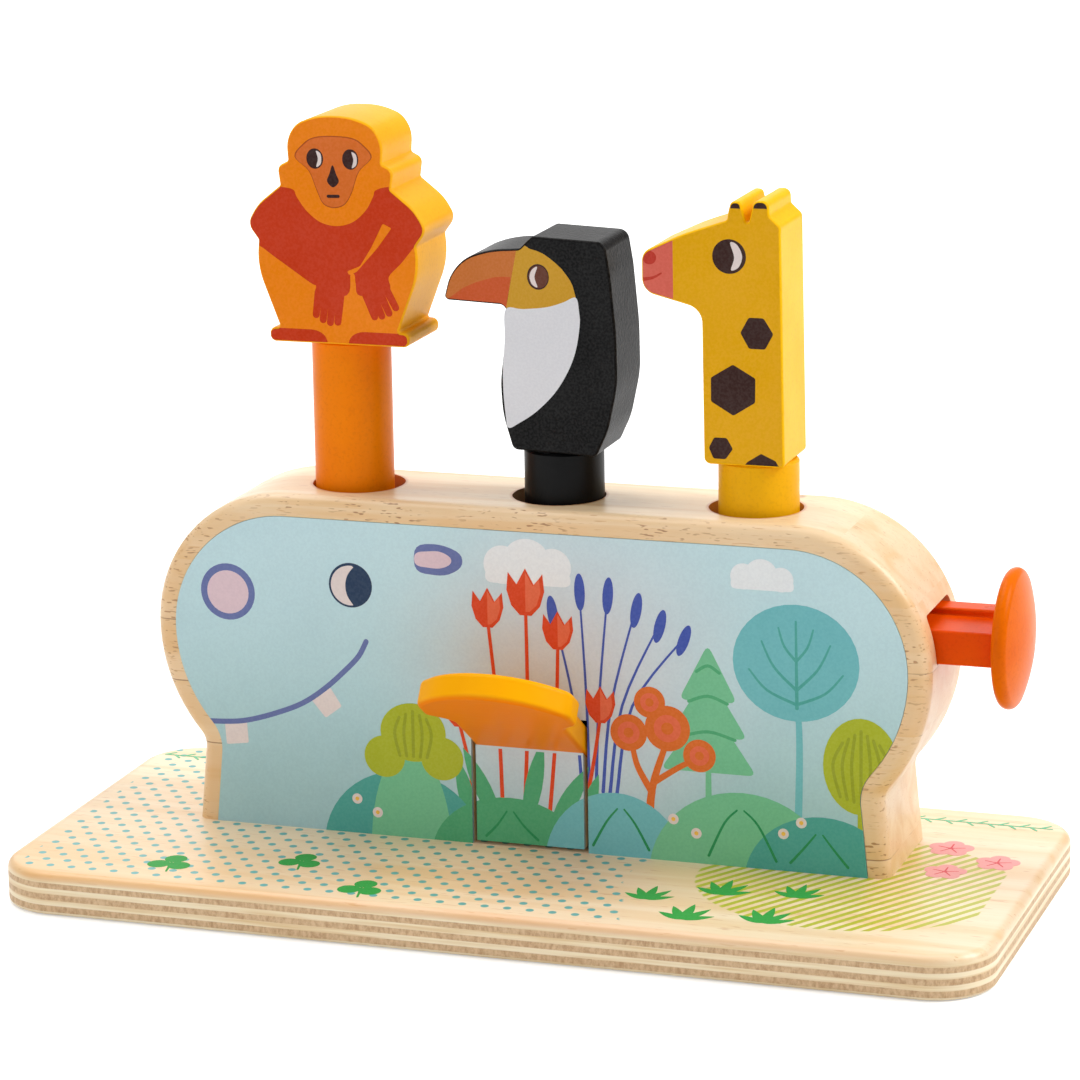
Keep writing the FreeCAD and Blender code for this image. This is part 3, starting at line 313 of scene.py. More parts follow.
# %% [markdown]
# The base is 12 mm plywood. Its edge shows the plies: pale ones with the fibres along
# the edge and brown ones cut across, which drink the varnish and look rough. The top is
# pale with a slight figure, and its rounded edge is tinted where the varnish gathered.
# Two common patterns are printed straight on it: teal dots in staggered rows on the
# left and lime stripes on the right.

# %% Plywood base
HALF_LENGTH = 139.0
HALF_DEPTH = 62.0
BROWN_PLIES = ((1.0, 2.8), (4.3, 6.0), (7.6, 9.2))
DOT_GAP = 6.3
DOT_ROW = 4.78
STRIPE_GAP = 3.3
STRIPE_ACROSS = (0.848, 0.53)
PATCH_MIDDLE = (92.0, -10.0)


def plywood_base():
    """Plies on the edge, varnished wood with dots and stripes on the top."""
    finish = Finish("plywood_base")
    x, y, z = finish.axis("X"), finish.axis("Y"), finish.axis("Z")
    top, height = wood_colour(
        finish, "X", colour(243, 222, 190), colour(232, 200, 154), colour(200, 144, 88))

    wave = finish.noise((9.0, 9.0, 60.0), 1.0) * 0.5
    level = z + wave - 0.25
    cross = finish.noise((900.0, 900.0, 500.0), 3.0, 0.7)
    along = finish.noise((30.0, 30.0, 900.0), 2.0)
    pale_ply = finish.mix(along.step(0.35, 0.75), colour(246, 229, 194), colour(226, 196, 146))
    brown_ply = finish.mix(cross.step(0.3, 0.75), colour(220, 188, 146), colour(184, 144, 102))
    brown = level * 0
    for low, high in BROWN_PLIES:
        band = (level - low).step(-0.12, 0.12) * (1 - (level - high).step(-0.12, 0.12))
        brown = brown + band
    edge_colour = finish.mix(brown, pale_ply, brown_ply)

    upper = (z - 9.3).step(0.0, 1.6)
    ground = finish.mix(upper, edge_colour, top)
    from_side = HALF_LENGTH - x.size()
    from_front = HALF_DEPTH - y.size()
    from_edge = x.maths("MINIMUM", from_side, from_front)
    tint = upper * (1 - from_edge.step(0.6, 3.4))
    blotches = finish.noise((14.0, 14.0, 14.0), 2.0)
    tint = tint * (1 - x.step(30.0, 120.0) * 0.6)
    ground = finish.mix(tint * (0.15 + blotches * 0.75), ground, colour(214, 150, 82))
    # The left front of the top turns warmer and more orange: a painted orange reflection near the
    # housing's left foot.
    painted_warm_reflection = (1 - (x + 30.0).step(-70.0, 70.0)) * (1 - y.step(-50.0, 20.0))
    ground = finish.mix(upper * painted_warm_reflection * (0.2 + blotches * 0.5), ground, colour(232, 178, 108))

    on_top = (z - 11.7).step(0.0, 0.2)
    row = (y + HALF_DEPTH) / DOT_ROW
    odd = row.maths("MODULO", row.whole(), 2.0)
    shifted = (x + y * 0.05) / DOT_GAP + odd * 0.5
    across_dot = (shifted.part() - 0.5) * DOT_GAP
    along_dot = (row.part() - 0.5) * DOT_ROW
    from_dot = (across_dot * across_dot + along_dot * along_dot).root()
    dot = 1 - from_dot.step(1.02, 1.22)
    bound = x + y * 0.25 + (finish.noise((22.0, 22.0, 22.0), 0.0) - 0.5) * 40.0
    field = (1 - (bound - 30.0).step(-0.5, 0.5)) * (from_side - 6.0).step(0.0, 0.5)
    field = field * (from_front - 4.2).step(0.0, 0.5)
    ground = finish.mix(dot * field * on_top, ground, colour(84, 166, 164))

    stripe = ((x * STRIPE_ACROSS[0] - y * STRIPE_ACROSS[1]) / STRIPE_GAP).part()
    bar = stripe.step(0.04, 0.1) * (1 - stripe.step(0.54, 0.6))
    patch_x, patch_y = x - PATCH_MIDDLE[0], y - PATCH_MIDDLE[1]
    around = (patch_x * patch_x / 1.25 + patch_y * patch_y).root()
    patch = 1 - around.step(38.2, 38.8)
    patch = patch * (x - 46.0).step(0.0, 1.0) * (130.0 - x).step(0.0, 0.6)
    ground = finish.mix(bar * patch * on_top, ground, colour(184, 186, 24))
    return finish.surface(
        Base_Color=ground, Roughness=0.4 + brown * (1 - upper) * 0.2,
        Normal=finish.relief(height * upper + cross * brown * (1 - upper) * 2, 0.00005),
        Coat_Weight=0.2, Coat_Roughness=0.3)


print("housing and base woods made")

# %% [markdown]
# Paint on the turned and sawn pieces is a satin coat. The wood under it still shows as
# a faint grainy relief, the gloss varies a little, and specks along the small dimples
# of sprayed paint are darkened a little as painted shade. The black paint also gets
# light grey specks, a painted sheen.

# %% Paint
FINE = 0.00003
FINER = 0.00002


def paint(name, tone, shade, roughness=0.38, texture=FINE, lengthwise="Z",
          gloss=0.08, painted_sheen_specks=0.0):
    """Painted wood with the grain showing through; the last value adds light grey specks as a
    painted sheen.
    """
    finish = Finish(name)
    long = tuple(90.0 if axis == lengthwise else 800.0 for axis in "XYZ")
    fibres = finish.noise(long, 3.0, 0.6)
    cloud = finish.noise((45.0, 45.0, 45.0), 3.0, 0.6)
    peel = finish.noise((1100.0, 1100.0, 1100.0), 2.0, 0.5)
    ground = finish.mix((cloud.step(0.25, 0.75) * 0.6 + fibres * 0.3), tone, shade)
    # Light grey specks where the peel noise is high: a painted sheen.
    ground = finish.mix(peel.step(0.42, 0.62) * painted_sheen_specks, ground, colour(118, 114, 112))
    # Specks that follow the same relief are darkened: painted shade of the orange peel.
    painted_dimple_shade = finish.mix(1.0, ground, (0.8, 0.7, 0.6, 1.0), "MULTIPLY")
    ground = finish.mix(peel.step(0.5, 0.7) * 0.3, ground, painted_dimple_shade)
    return finish.surface(
        Base_Color=ground, Roughness=roughness - 0.06 + cloud * 0.12,
        Normal=finish.relief(fibres + peel * 0.8, texture),
        Specular_IOR_Level=gloss)


monkey_paint = paint("monkey_paint", colour(252, 182, 30), colour(244, 166, 12))
orange_paint = paint("orange_paint", colour(248, 134, 0), colour(238, 120, 0), 0.34, FINER)
# The black paint's last value mixes in light grey specks: a painted sheen.
black_paint = paint(
    "black_paint", colour(16, 15, 15), colour(8, 7, 7), 0.36, 0.0001, "none", 0.05, 0.06)
peg_black = paint("peg_black", colour(10, 10, 11), colour(5, 5, 6), 0.4, gloss=0.12)
yellow_paint = paint("yellow_paint", colour(250, 194, 4), colour(242, 182, 2))
peg_yellow = paint("peg_yellow", colour(246, 186, 16), colour(236, 170, 6), 0.34, FINER)
knob_paint = paint("knob_paint", colour(232, 112, 0), colour(220, 92, 0), 0.3, FINER, "X", 0.05)
bar_paint = paint("bar_paint", colour(232, 86, 0), colour(220, 64, 0), 0.3, FINER, "X", 0.05)

TAB_TILT = math.radians(34.0)
TAB_HINGE_Y = 0.9
TAB_HINGE_Z = 41.1
TAB_HALF_THICK = 3.75


def tab_paint():
    """Yellow on the top and the edge, orange on the underside: the orange underside is painted
    shade under the tab.
    """
    finish = Finish("tab_paint")
    y, z = finish.axis("Y"), finish.axis("Z")
    above = (z - TAB_HINGE_Z) * math.cos(TAB_TILT) - (TAB_HINGE_Y - y) * math.sin(TAB_TILT)
    # The underside of the tilted tab is coloured orange: painted shade.
    upper = (above + TAB_HALF_THICK).step(0.1, 1.3)
    cloud = finish.noise((45.0, 45.0, 45.0), 3.0, 0.6)
    fibres = finish.noise((90.0, 800.0, 800.0), 3.0, 0.6)
    ground = finish.mix(upper, colour(238, 126, 0), colour(250, 172, 2))
    ground = finish.mix(cloud.step(0.3, 0.8) * 0.3, ground, colour(238, 146, 0))
    return finish.surface(
        Base_Color=ground, Roughness=0.28 + cloud * 0.1,
        Normal=finish.relief(fibres, 0.00003), Specular_IOR_Level=0.06)


print("paints made")

# %% [markdown]
# Printing ink lies flat and matt. A fine speckle, like the dots of a printing screen,
# and a trace of the wood below keep it from looking like plain plastic.

# %% Ink
def speckled(finish, ground):
    """The ink colour broken up by a fine speckle and by cloudy patches."""
    speckle = finish.noise((1500.0, 1500.0, 1500.0), 1.0).step(0.3, 0.7)
    clouds = finish.noise((40.0, 40.0, 40.0), 2.0).step(0.3, 0.7)
    light = finish.mix(0.02, ground, (1.0, 1.0, 1.0, 1.0))
    deep = finish.mix(1.0, ground, (0.93, 0.93, 0.94, 1.0), "MULTIPLY")
    return finish.mix(speckle * 0.6 + clouds * 0.4, deep, light)


def printed(finish, ground, roughness, gloss):
    """Ends a material as ink over a trace of the wood's fibres."""
    fibres = finish.noise((50.0, 700.0, 700.0), 2.0)
    return finish.surface(
        Base_Color=ground, Roughness=roughness + fibres * 0.08,
        Normal=finish.relief(fibres, FINER), Specular_IOR_Level=gloss)


def ink(name, red, green, blue, roughness=0.42):
    """One printed colour."""
    finish = Finish(name)
    return printed(finish, speckled(finish, colour(red, green, blue)), roughness, 0.07)


def panel_ground():
    """The panel's light blue ground, lighter towards the top as painted light from above, paler
    behind the plants, on bare wood.
    """
    finish = Finish("panel_ground")
    x, z = finish.axis("X"), finish.axis("Z")
    off_x, off_z = (x - 12.0) / 62.0, (z - 62.0) / 60.0
    away = (off_x * off_x + off_z * off_z).root()
    pale = 1 - away.step(0.15, 1.0)
    # The blue gets lighter towards the top: painted light falling from above.
    sky = finish.mix(z.step(15.0, 95.0), colour(168, 205, 210), colour(198, 228, 234))
    ground = finish.mix(pale * 0.9, sky, colour(214, 220, 228))
    ground = speckled(finish, ground)
    behind = finish.axis("Y").step(-3.9, -3.7)
    plies = wood_colour(finish, "X", PALE, WARM, DARK)[0]
    return printed(finish, finish.mix(behind, ground, plies), 0.42, 0.15)


# %% [markdown]
# Screws are zinc plated steel, the spring is bare wire. Both are plain metal whose
# roughness changes a little from place to place.

# %% Metal
def metal(name, tone, roughness):
    """Bare metal with fine scuffs."""
    finish = Finish(name)
    scuffs = finish.noise((700.0, 700.0, 700.0), 3.0, 0.6)
    ground = finish.mix(scuffs, tone, colour(150, 150, 152))
    return finish.surface(
        Base_Color=ground, Metallic=1.0, Roughness=roughness + scuffs * 0.15,
        Normal=finish.relief(scuffs, 0.00001))


screw_steel = metal("screw_steel", colour(196, 196, 198), 0.25)
spring_steel = metal("spring_steel", colour(208, 208, 212), 0.2)

# %% Put the finishes on the model
finish_of = {
    "base_board": plywood_base(), "housing": housing_wood(), "front_panel": panel_ground(),
    "back_panel": plain, "guide_plate": plain, "spring_post": upright,
    "pivot_block_left": plain, "pivot_block_right": plain, "lever_arm": upright,
    "monkey_figure": monkey_paint, "monkey_peg": orange_paint,
    "toucan_figure": black_paint, "toucan_peg": peg_black,
    "giraffe_figure": yellow_paint, "giraffe_peg": peg_yellow,
    "push_knob": knob_paint, "push_bar": bar_paint, "lever_tab": tab_paint(),
    "monkey_spring": spring_steel, "lever_pin": screw_steel,
}
finish_of["lever_flap"] = finish_of["front_panel"]
for name, node in nodes.items():
    material = finish_of.get(name, screw_steel if "screws" in name else upright)
    node.data.materials.clear()
    node.data.materials.append(material)
print(len(nodes), "model pieces have a finish")

# %% [markdown]
# A print is made of thin cut-outs, like paper collage. Each motif is an outline in
# millimetres, filled as one face and pulled out into a film a few hundredths of a
# millimetre thick. Later motifs lie a hair higher, so they cover earlier ones. A motif
# that reaches the edge of its board is cut to shape with a Boolean against a copy of
# that board, as a print is trimmed with the wood.

# %% Outlines
CURVE_STEPS = 5


def through(points, closed=True):
    """A smooth line through points."""
    count = len(points)
    line = []
    for index in range(count if closed else count - 1):
        if closed:
            four = [points[(index + step) % count] for step in (-1, 0, 1, 2)]
        else:
            four = [points[min(max(index + step, 0), count - 1)] for step in (-1, 0, 1, 2)]
        before, start, end, after = (Vector(point) for point in four)
        for step in range(CURVE_STEPS):
            t = step / CURVE_STEPS
            line.append((
                2 * start + (end - before) * t
                + (2 * before - 5 * start + 4 * end - after) * t * t
                + (3 * start - before - 3 * end + after) * t ** 3) / 2)
    if not closed:
        line.append(Vector(points[-1]))
    return line


def oval(x, y, wide, high=None, turned=0.0, count=36):
    """A circle or an oval with half sizes wide and high, turned by degrees."""
    high = high or wide
    angle = math.radians(turned)
    points = []
    for index in range(count):
        t = 2 * math.pi * index / count
        u, v = wide * math.cos(t), high * math.sin(t)
        points.append(Vector((
            x + u * math.cos(angle) - v * math.sin(angle),
            y + u * math.sin(angle) + v * math.cos(angle))))
    return points


def cap(tip, outward, wide):
    """Five points round the end of a stroke."""
    side = Vector((-outward.y, outward.x))
    return [tip + outward * wide / 2 * math.sin(t) + side * wide / 2 * math.cos(t)
            for t in (math.pi * k / 6 for k in range(1, 6))]


def stroke(points, wide, end=None):
    """A brush stroke along points, from one width to another, with round ends."""
    line = [Vector(point) for point in points]
    if len(points) > 2:
        line = through(points, closed=False)
    end = wide if end is None else end
    left, right = [], []
    for index, here in enumerate(line):
        ahead = (line[min(index + 1, len(line) - 1)] - line[max(index - 1, 0)]).normalized()
        side = Vector((-ahead.y, ahead.x))
        half = (wide + (end - wide) * index / (len(line) - 1)) / 2
        left.append(here + side * half)
        right.append(here - side * half)
    first = (line[1] - line[0]).normalized()
    last = (line[-1] - line[-2]).normalized()
    return left + cap(line[-1], last, end) + right[::-1] + cap(line[0], -first, wide)


def leaf(x, y, degrees, length, wide, belly=0.5):
    """A pointed leaf from its root at x, y."""
    angle = math.radians(degrees)
    along = Vector((math.cos(angle), math.sin(angle)))
    side = Vector((-along.y, along.x))
    outline = []
    for sign, shares in ((1, range(0, 9)), (-1, range(8, -1, -1))):
        for index in shares:
            t = index / 8
            swell = math.sin(math.pi * t ** (math.log(0.5) / math.log(belly))) ** 0.85
            outline.append(Vector((x, y)) + along * length * t + side * sign * wide / 2 * swell)
    return outline[:-1]


def corners(*points):
    """A polygon."""
    return [Vector(point) for point in points]


def rectangle(left, right, low, high):
    """A polygon with four square corners."""
    return corners((left, low), (right, low), (right, high), (left, high))


def softened(points, radius):
    """A polygon whose corners are rounded a little."""
    made = []
    count = len(points)
    for index, here in enumerate(points):
        before = (points[index - 1] - here)
        after = (points[(index + 1) % count] - here)
        start = here + before.normalized() * min(radius, before.length * 0.45)
        end = here + after.normalized() * min(radius, after.length * 0.45)
        for t in (0.0, 0.25, 0.5, 0.75, 1.0):
            made.append(start * (1 - t) ** 2 + here * 2 * t * (1 - t) + end * t * t)
    return made


# %% The film press
FILM_ROOT = 0.01
FIRST_FILM = 0.02
FILM_STEP = 0.001


class Print:
    """A printed picture on one flat side of a board.

    The side faces to the front or up and lies at a level; films are trimmed against a
    copy of the board that stands clear of it by some millimetres.
    """

    def __init__(self, name, node, body, slot, facing, level, clear=0.1):
        self.name = name
        self.body = body
        self.slot = slot
        self.facing = facing
        self.level = level
        self.height = FIRST_FILM
        self.films = []
        self.board = nodes[node].copy()
        self.board.data = nodes[node].data.copy()
        self.board.parent = None
        self.board.matrix_world = Matrix.Identity(4)
        bpy.context.collection.objects.link(self.board)
        select_only(self.board)
        bpy.ops.object.mode_set(mode="EDIT")
        bpy.ops.mesh.select_all(action="SELECT")
        bpy.ops.mesh.remove_doubles(threshold=0.000002)
        bpy.ops.transform.translate(value=self.out() * clear * MM)
        bpy.ops.object.mode_set(mode="OBJECT")

    def out(self):
        """The direction in which the printed side faces."""
        return Vector((0, -1, 0)) if self.facing == "front" else Vector((0, 0, 1))

    def place(self, point, height):
        """A point of the picture, at a height above the board."""
        if self.facing == "front":
            return Vector((point[0], self.level - height, point[1])) * MM
        return Vector((point[0], point[1], self.level + height)) * MM

    def lay(self, material, *outlines, trim=False):
        """Lays films of one colour, each a hair above the one before."""
        for outline in outlines:
            self.height += FILM_STEP
            bpy.ops.mesh.primitive_circle_add(vertices=len(outline), radius=MM, fill_type="NGON")
            film = bpy.context.object
            for vertex, point in zip(film.data.vertices, outline):
                vertex.co = self.place(point, -FILM_ROOT)
            bpy.ops.object.mode_set(mode="EDIT")
            bpy.ops.mesh.select_all(action="SELECT")
            thick = self.out() * (self.height + FILM_ROOT) * MM
            bpy.ops.mesh.extrude_region_move(TRANSFORM_OT_translate={"value": thick})
            bpy.ops.mesh.select_all(action="SELECT")
            bpy.ops.mesh.normals_make_consistent(inside=False)
            bpy.ops.object.mode_set(mode="OBJECT")
            film.data.materials.append(material)
            if trim:
                fit = film.modifiers.new("fit", "BOOLEAN")
                fit.operation = "INTERSECT"
                fit.solver = "EXACT"
                fit.object = self.board
                select_only(film)
                bpy.ops.object.modifier_apply(modifier=fit.name)
            self.films.append(film)

    def finish(self):
        """Joins the films into one piece that rides on its body."""
        bpy.data.objects.remove(self.board)
        films = [film for film in self.films if len(film.data.polygons)]
        for film in self.films:
            if film not in films:
                bpy.data.objects.remove(film)
        select_only(films[0])
        for film in films:
            film.select_set(True)
        bpy.ops.object.join()
        piece = bpy.context.object
        bpy.ops.object.transform_apply(location=True, rotation=True, scale=True)
        piece.name = self.name
        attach(piece, self.body)
        select_only(None)
        print(self.name, len(films), "films,", len(piece.data.polygons), "faces")


def select_only(thing):
    """Selects one thing, or nothing."""
    bpy.ops.object.select_all(action="DESELECT")
    if thing is not None:
        thing.select_set(True)
        bpy.context.view_layer.objects.active = thing


# %% Inks of the panel
violet = ink("ink_violet", 108, 120, 172)
rose = ink("ink_rose", 226, 200, 208)
cream = ink("ink_cream", 232, 218, 214)
navy = ink("ink_navy", 44, 64, 92)
teal = ink("ink_teal", 82, 168, 158)
aqua = ink("ink_aqua", 116, 190, 196)
mint = ink("ink_mint", 120, 196, 152)
leaf_green = ink("ink_leaf_green", 84, 172, 122)
deep_green = ink("ink_deep_green", 44, 146, 90)
lime = ink("ink_lime", 176, 186, 48)
olive = ink("ink_olive", 156, 166, 44)
coral = ink("ink_coral", 222, 74, 32)
salmon = ink("ink_salmon", 232, 110, 74)
tangerine = ink("ink_tangerine", 224, 112, 44)
royal = ink("ink_royal", 72, 92, 178)
cloud_white = ink("ink_cloud", 236, 240, 242)
pink = ink("ink_pink", 242, 172, 170)
sun = ink("ink_sun", 246, 196, 84)
print("inks made")

# %% [markdown]
# The hippo's face fills the left third of the panel: a rose nostril with a violet ring,
# a large eye that looks to the right, a small ear, a long smile and two teeth. The
# white of the eye is the part of a circle that lies left of the pupil's edge.

# %% Hippo's face
PANEL_FRONT = -5.0
panel = Print("panel_picture", "front_panel", "housing", "panel_print", "front", PANEL_FRONT, 1.0)
panel.lay(violet, oval(-89.0, 79.1, 8.1))
panel.lay(rose, oval(-89.0, 79.0, 6.2))
ear = corners(
    (-33.5, 96.2), (-26, 96.9), (-19.6, 94.6), (-19.4, 90.6), (-24.5, 87.7), (-33.6, 88.4))
panel.lay(violet, softened(ear, 3.2))
inner_ear = corners(
    (-33.5, 94.1), (-26, 94.9), (-22.6, 93.2), (-22.8, 91.2), (-26, 89.7), (-33.5, 90.2))
panel.lay(rose, softened(inner_ear, 2.2))
panel.lay(navy, oval(-52.4, 83.4, 6.35))
pupil_edge = [(-51.4, 88.6), (-53.2, 86.2), (-53.9, 83.4), (-53.4, 80.4), (-51.7, 77.8)]
white_x, white_y = -52.5, 83.3
white = oval(white_x, white_y, 5.65, count=60)
crescent = [point for point in white if point.x < -51.6]
crescent.sort(key=lambda point: -math.atan2(point.y - white_y, white_x - point.x))
panel.lay(cream, crescent + through(pupil_edge, closed=False)[::-1])
smile = [(-98.5, 41.0), (-90.1, 41.4), (-84.1, 42.3), (-76.1, 44.8), (-67.7, 48.4),
         (-60.7, 53.3), (-54.4, 59.1), (-50.5, 63.3), (-48.2, 67.6)]
teeth = (
    corners((-91.3, 41.4), (-84.6, 42.2), (-84.2, 35.6), (-90.9, 34.7)),
    corners((-64.9, 49.6), (-59.2, 53.6), (-55.9, 48.4), (-60.8, 44.7)))
panel.lay(cream, *[softened(tooth, 0.6) for tooth in teeth])
panel.lay(violet, stroke(smile, 1.5), trim=True)
print("face laid")

# %% [markdown]
# Right of the face stands a little park in the same colours: rounded hills, round
# trees, reeds, tulips and bushes. Common shapes are enough here, as long as sizes and
# colours stay lively. The flap under the lever carries the same picture across its two
# slits, so each motif there is laid twice, once on the panel and once on the flap.

# %% Park behind
flap = Print("flap_picture", "lever_flap", "lever", "panel_print", "front", PANEL_FRONT, 1.0)


def lay_across(material, *outlines):
    """Lays the same films on the panel and on the flap."""
    panel.lay(material, *outlines, trim=True)
    flap.lay(material, *outlines, trim=True)


HILL_FOOT = 8.0


def hill(left, right, top):
    """A low hill as half an oval."""
    middle = (left + right) / 2
    half = (right - left) / 2
    return [Vector((middle + half * math.cos(t), HILL_FOOT + (top - HILL_FOOT) * math.sin(t)))
            for t in (math.pi * k / 24 for k in range(25))]


puffs = [oval(-8, 92.2, 5.4), oval(-1, 94.3, 6.4, 5.6), oval(6.5, 92.4, 5.2)]
cloud_foot = softened(corners((-13, 91), (11.5, 91), (11.5, 87), (-13, 87)), 2.4)
panel.lay(cloud_white, *puffs, cloud_foot, trim=True)
small_puffs = [oval(60, 93.5, 3.6), oval(65, 94.6, 4.4, 4.0), oval(70.5, 93.2, 3.4)]
small_foot = softened(corners((56.5, 93), (74, 93), (74, 90), (56.5, 90)), 1.6)
panel.lay(cloud_white, *small_puffs, small_foot, trim=True)

reeds = []
for root, tip, bend in (
        (14, 6, -2), (16, 14, -1), (18, 22, 1), (20, 30, 3), (22, 37, 5), (24, 44, 8)):
    top = 88 - abs(tip - 20) * 0.5
    middle = (root + (tip - root) * 0.35 - bend * 0.3, 55)
    reeds.append(stroke([(root, 30), middle, (tip, top)], 1.0, 0.5))
lay_across(royal, *reeds)
panel.lay(royal, *[oval(x, z, 1.5, high, lean) for x, z, high, lean in (
    (6.2, 79.5, 5.0, 8), (14, 86, 5.2, 2), (22, 85.5, 5.2, -4),
    (30, 82, 5.0, -10), (36.6, 78, 4.8, -14), (43.3, 74.5, 4.6, -20))])
print("sky and reeds laid")

# %% Trees
ROUND_TREE = 74.5
FIR = 50
LIME_TREE = 92.5

panel.lay(aqua, stroke([(75, 20), (75.5, 48), (ROUND_TREE, 64)], 2.2, 1.4))
panel.lay(aqua, oval(ROUND_TREE, 70.5, 17.5, 16.2))
twigs = [stroke([(74.8, 58), (ROUND_TREE, 82)], 1.0, 0.6)]
for side in (-1, 1):
    for start, bend, tip, wide in (
            ((74.7, 63), (6, 69), (9.5, 76), 0.9),
            ((74.7, 59), (8, 62.5), (13, 68), 0.9),
            ((74.6, 71), (3.2, 75), (4.8, 80), 0.8)):
        rest = [(ROUND_TREE + side * x, z) for x, z in (bend, tip)]
        twigs.append(stroke([start, *rest], wide, 0.5))
panel.lay(teal, *twigs)

panel.lay(mint, stroke([(FIR, 18), (FIR, 44)], 2.0, 1.4))
panel.lay(mint, *[
    softened(corners((FIR - half, low), (FIR + half, low), (FIR, low + high)), 2.4)
    for half, low, high in ((13.5, 38, 20), (11, 48, 18), (8.2, 58, 16))])
panel.lay(leaf_green, *[
    stroke([(FIR - half, low + 1.2), (FIR, low + 3.0), (FIR + half, low + 1.2)], 0.9)
    for half, low in ((7.5, 46.5), (5.4, 56.5), (3.2, 65))])

trunk = stroke([(LIME_TREE, 15), (LIME_TREE, 34)], 1.8)
panel.lay(lime, oval(LIME_TREE, 43, 10.5, 13.5), trunk, trim=True)
ribs = []
for k in range(-3, 4):
    foot = (LIME_TREE + 1.9 * k, 32.5 + abs(k) * 0.6)
    tip = (LIME_TREE + 1.7 * k, 53 - abs(k) * 1.2)
    ribs.append(stroke([foot, (LIME_TREE + 2.6 * k, 43), tip], 0.9))
panel.lay(olive, *ribs, trim=True)

panel.lay(tangerine,
          stroke([(33, 18), (34, 32), (38, 45)], 2.6, 1.6),
          stroke([(34, 31), (30, 38), (28.5, 44)], 2.0, 1.4),
          stroke([(34.6, 34), (42, 39), (46, 41)], 1.8, 1.4))
blossoms = ((38.5, 49.5, 6.4), (27.5, 47.5, 5.2), (47.5, 42.5, 4.6), (33.5, 56.5, 4.4))
for tone, share in ((tangerine, 1.0), (salmon, 0.6), (tangerine, 0.27)):
    panel.lay(tone, *[oval(x, y, radius * share) for x, y, radius in blossoms])
print("trees laid")

# %% Tulips across the flap
def tulip(x, y, size):
    """A tulip's cup with three points."""
    return [Vector((x + size * u, y + size * v)) for u, v in (
        (-0.75, 0.95), (-0.38, 0.45), (0, 1.15), (0.38, 0.45), (0.75, 0.95), (0.82, 0.2),
        (0.62, -0.45), (0.25, -0.85), (-0.25, -0.85), (-0.62, -0.45), (-0.82, 0.2))]


def tulip_light(x, y, size):
    """The lighter half of a tulip's cup."""
    return [Vector((x + size * u, y + size * v)) for u, v in (
        (0, 1.0), (0.32, 0.42), (0.6, 0.75), (0.66, 0.15), (0.48, -0.4), (0.18, -0.68),
        (0.0, -0.7))]


blooms = ((-12.5, 79, 5.6, -9, 18), (-1.5, 84, 6.6, -3, 17), (7.6, 74, 5.4, 4, 17),
          (-21.5, 49.5, 5.0, -17, 17), (19.5, 54, 5.2, 12.5, 16))
stems = []
for x, y, size, foot, low in blooms:
    middle = ((foot + x) / 2 + 0.8, (low + y) / 2)
    stems.append(stroke([(foot, low), middle, (x, y - size * 0.5)], 1.2, 0.9))
lay_across(coral, *stems)
panel.lay(coral, *[tulip(*bloom[:3]) for bloom in blooms], trim=True)
panel.lay(salmon, *[tulip_light(*bloom[:3]) for bloom in blooms], trim=True)
lay_across(leaf_green, leaf(-9, 16, 116, 26, 5), leaf(-3, 16, 78, 28, 5), leaf(4, 16, 60, 24, 5),
           leaf(12, 14, 72, 22, 4.4), leaf(-17, 15, 104, 22, 4.6))

# %% Front row
lay_across(teal, hill(-62, -14, 31))
panel.lay(mint, hill(-48, -24, 38), trim=True)
BUSH = -35
panel.lay(lime, oval(BUSH, 42.5, 9.6, 8.4), oval(-43.5, 35, 6.0), oval(-26.6, 35.6, 6.2),
          trim=True)
ribs = []
for k in (-2, -1, 0, 1, 2):
    foot, tip = (BUSH + 2.0 * k, 35.6), (BUSH + 2.0 * k, 48.6 - abs(k))
    ribs.append(stroke([foot, (BUSH + 2.7 * k, 42), tip], 0.9))
panel.lay(olive, *ribs, trim=True)
lay_across(leaf_green, hill(-30, 16, 26))
lay_across(aqua, hill(3, 44, 30))
panel.lay(mint, hill(33, 86, 33), trim=True)
panel.lay(teal, hill(60, 104, 28), trim=True)
hill_lines = []
for x, reach, top in ((-8, -6, 22), (24, -7, 25.5), (58, -8, 28), (80, -7, 23),
                      (-6, 7, 22), (26, 7, 25.5), (60, 9, 28), (82, 7, 23)):
    hill_lines.append(stroke([(x + reach, 14.5), (x + reach * 0.45, top - 4), (x, top)], 0.8, 0.5))
lay_across(deep_green, *hill_lines)
daisies = ((40, 24), (46.5, 20.5), (71, 22.5), (76, 26), (-52, 22), (-46, 18.5))
panel.lay(cream, *[oval(x, y, 1.5) for x, y in daisies])
panel.lay(sun, *[oval(x, y, 0.6, count=14) for x, y in daisies])
panel.finish()
flap.finish()

# %% [markdown]
# The base carries small green clovers, grass and pink flowers on top of its dots and
# stripes, and a twig along its back edge on each side of the housing. They are ordinary
# shapes of a few parts each, printed in flat ink.

# %% Print on the base
rosy = ink("ink_rosy", 226, 96, 104)
grass_green = ink("ink_grass_green", 52, 158, 66)
BASE_TOP = 12.0
PETAL_ANGLES = [math.pi / 2 + 2 * math.pi * k / 5 for k in range(5)]
base_print = Print("base_picture", "base_board", "housing", "plywood", "up", BASE_TOP)


def ring_of_ovals(x, y, away, radius, angles):
    """Small round leaves or petals about a middle."""
    return [oval(x + away * math.cos(t), y + away * math.sin(t), radius, count=20)
            for t in angles]


def clover(x, y, size):
    """Three round leaflets."""
    angles = (math.pi / 2, math.pi * 7 / 6, math.pi * 11 / 6)
    return ring_of_ovals(x, y, size * 0.62, size * 0.56, angles)


def grass(x, y, size):
    """Five blades from one root."""
    return [leaf(x, y, angle, size * length, size * 0.26, 0.4)
            for angle, length in ((150, 0.8), (118, 1.0), (90, 1.15), (62, 1.0), (30, 0.8))]


def flower(x, y, size):
    """Five round petals."""
    return ring_of_ovals(x, y, size * 0.55, size * 0.46, PETAL_ANGLES)


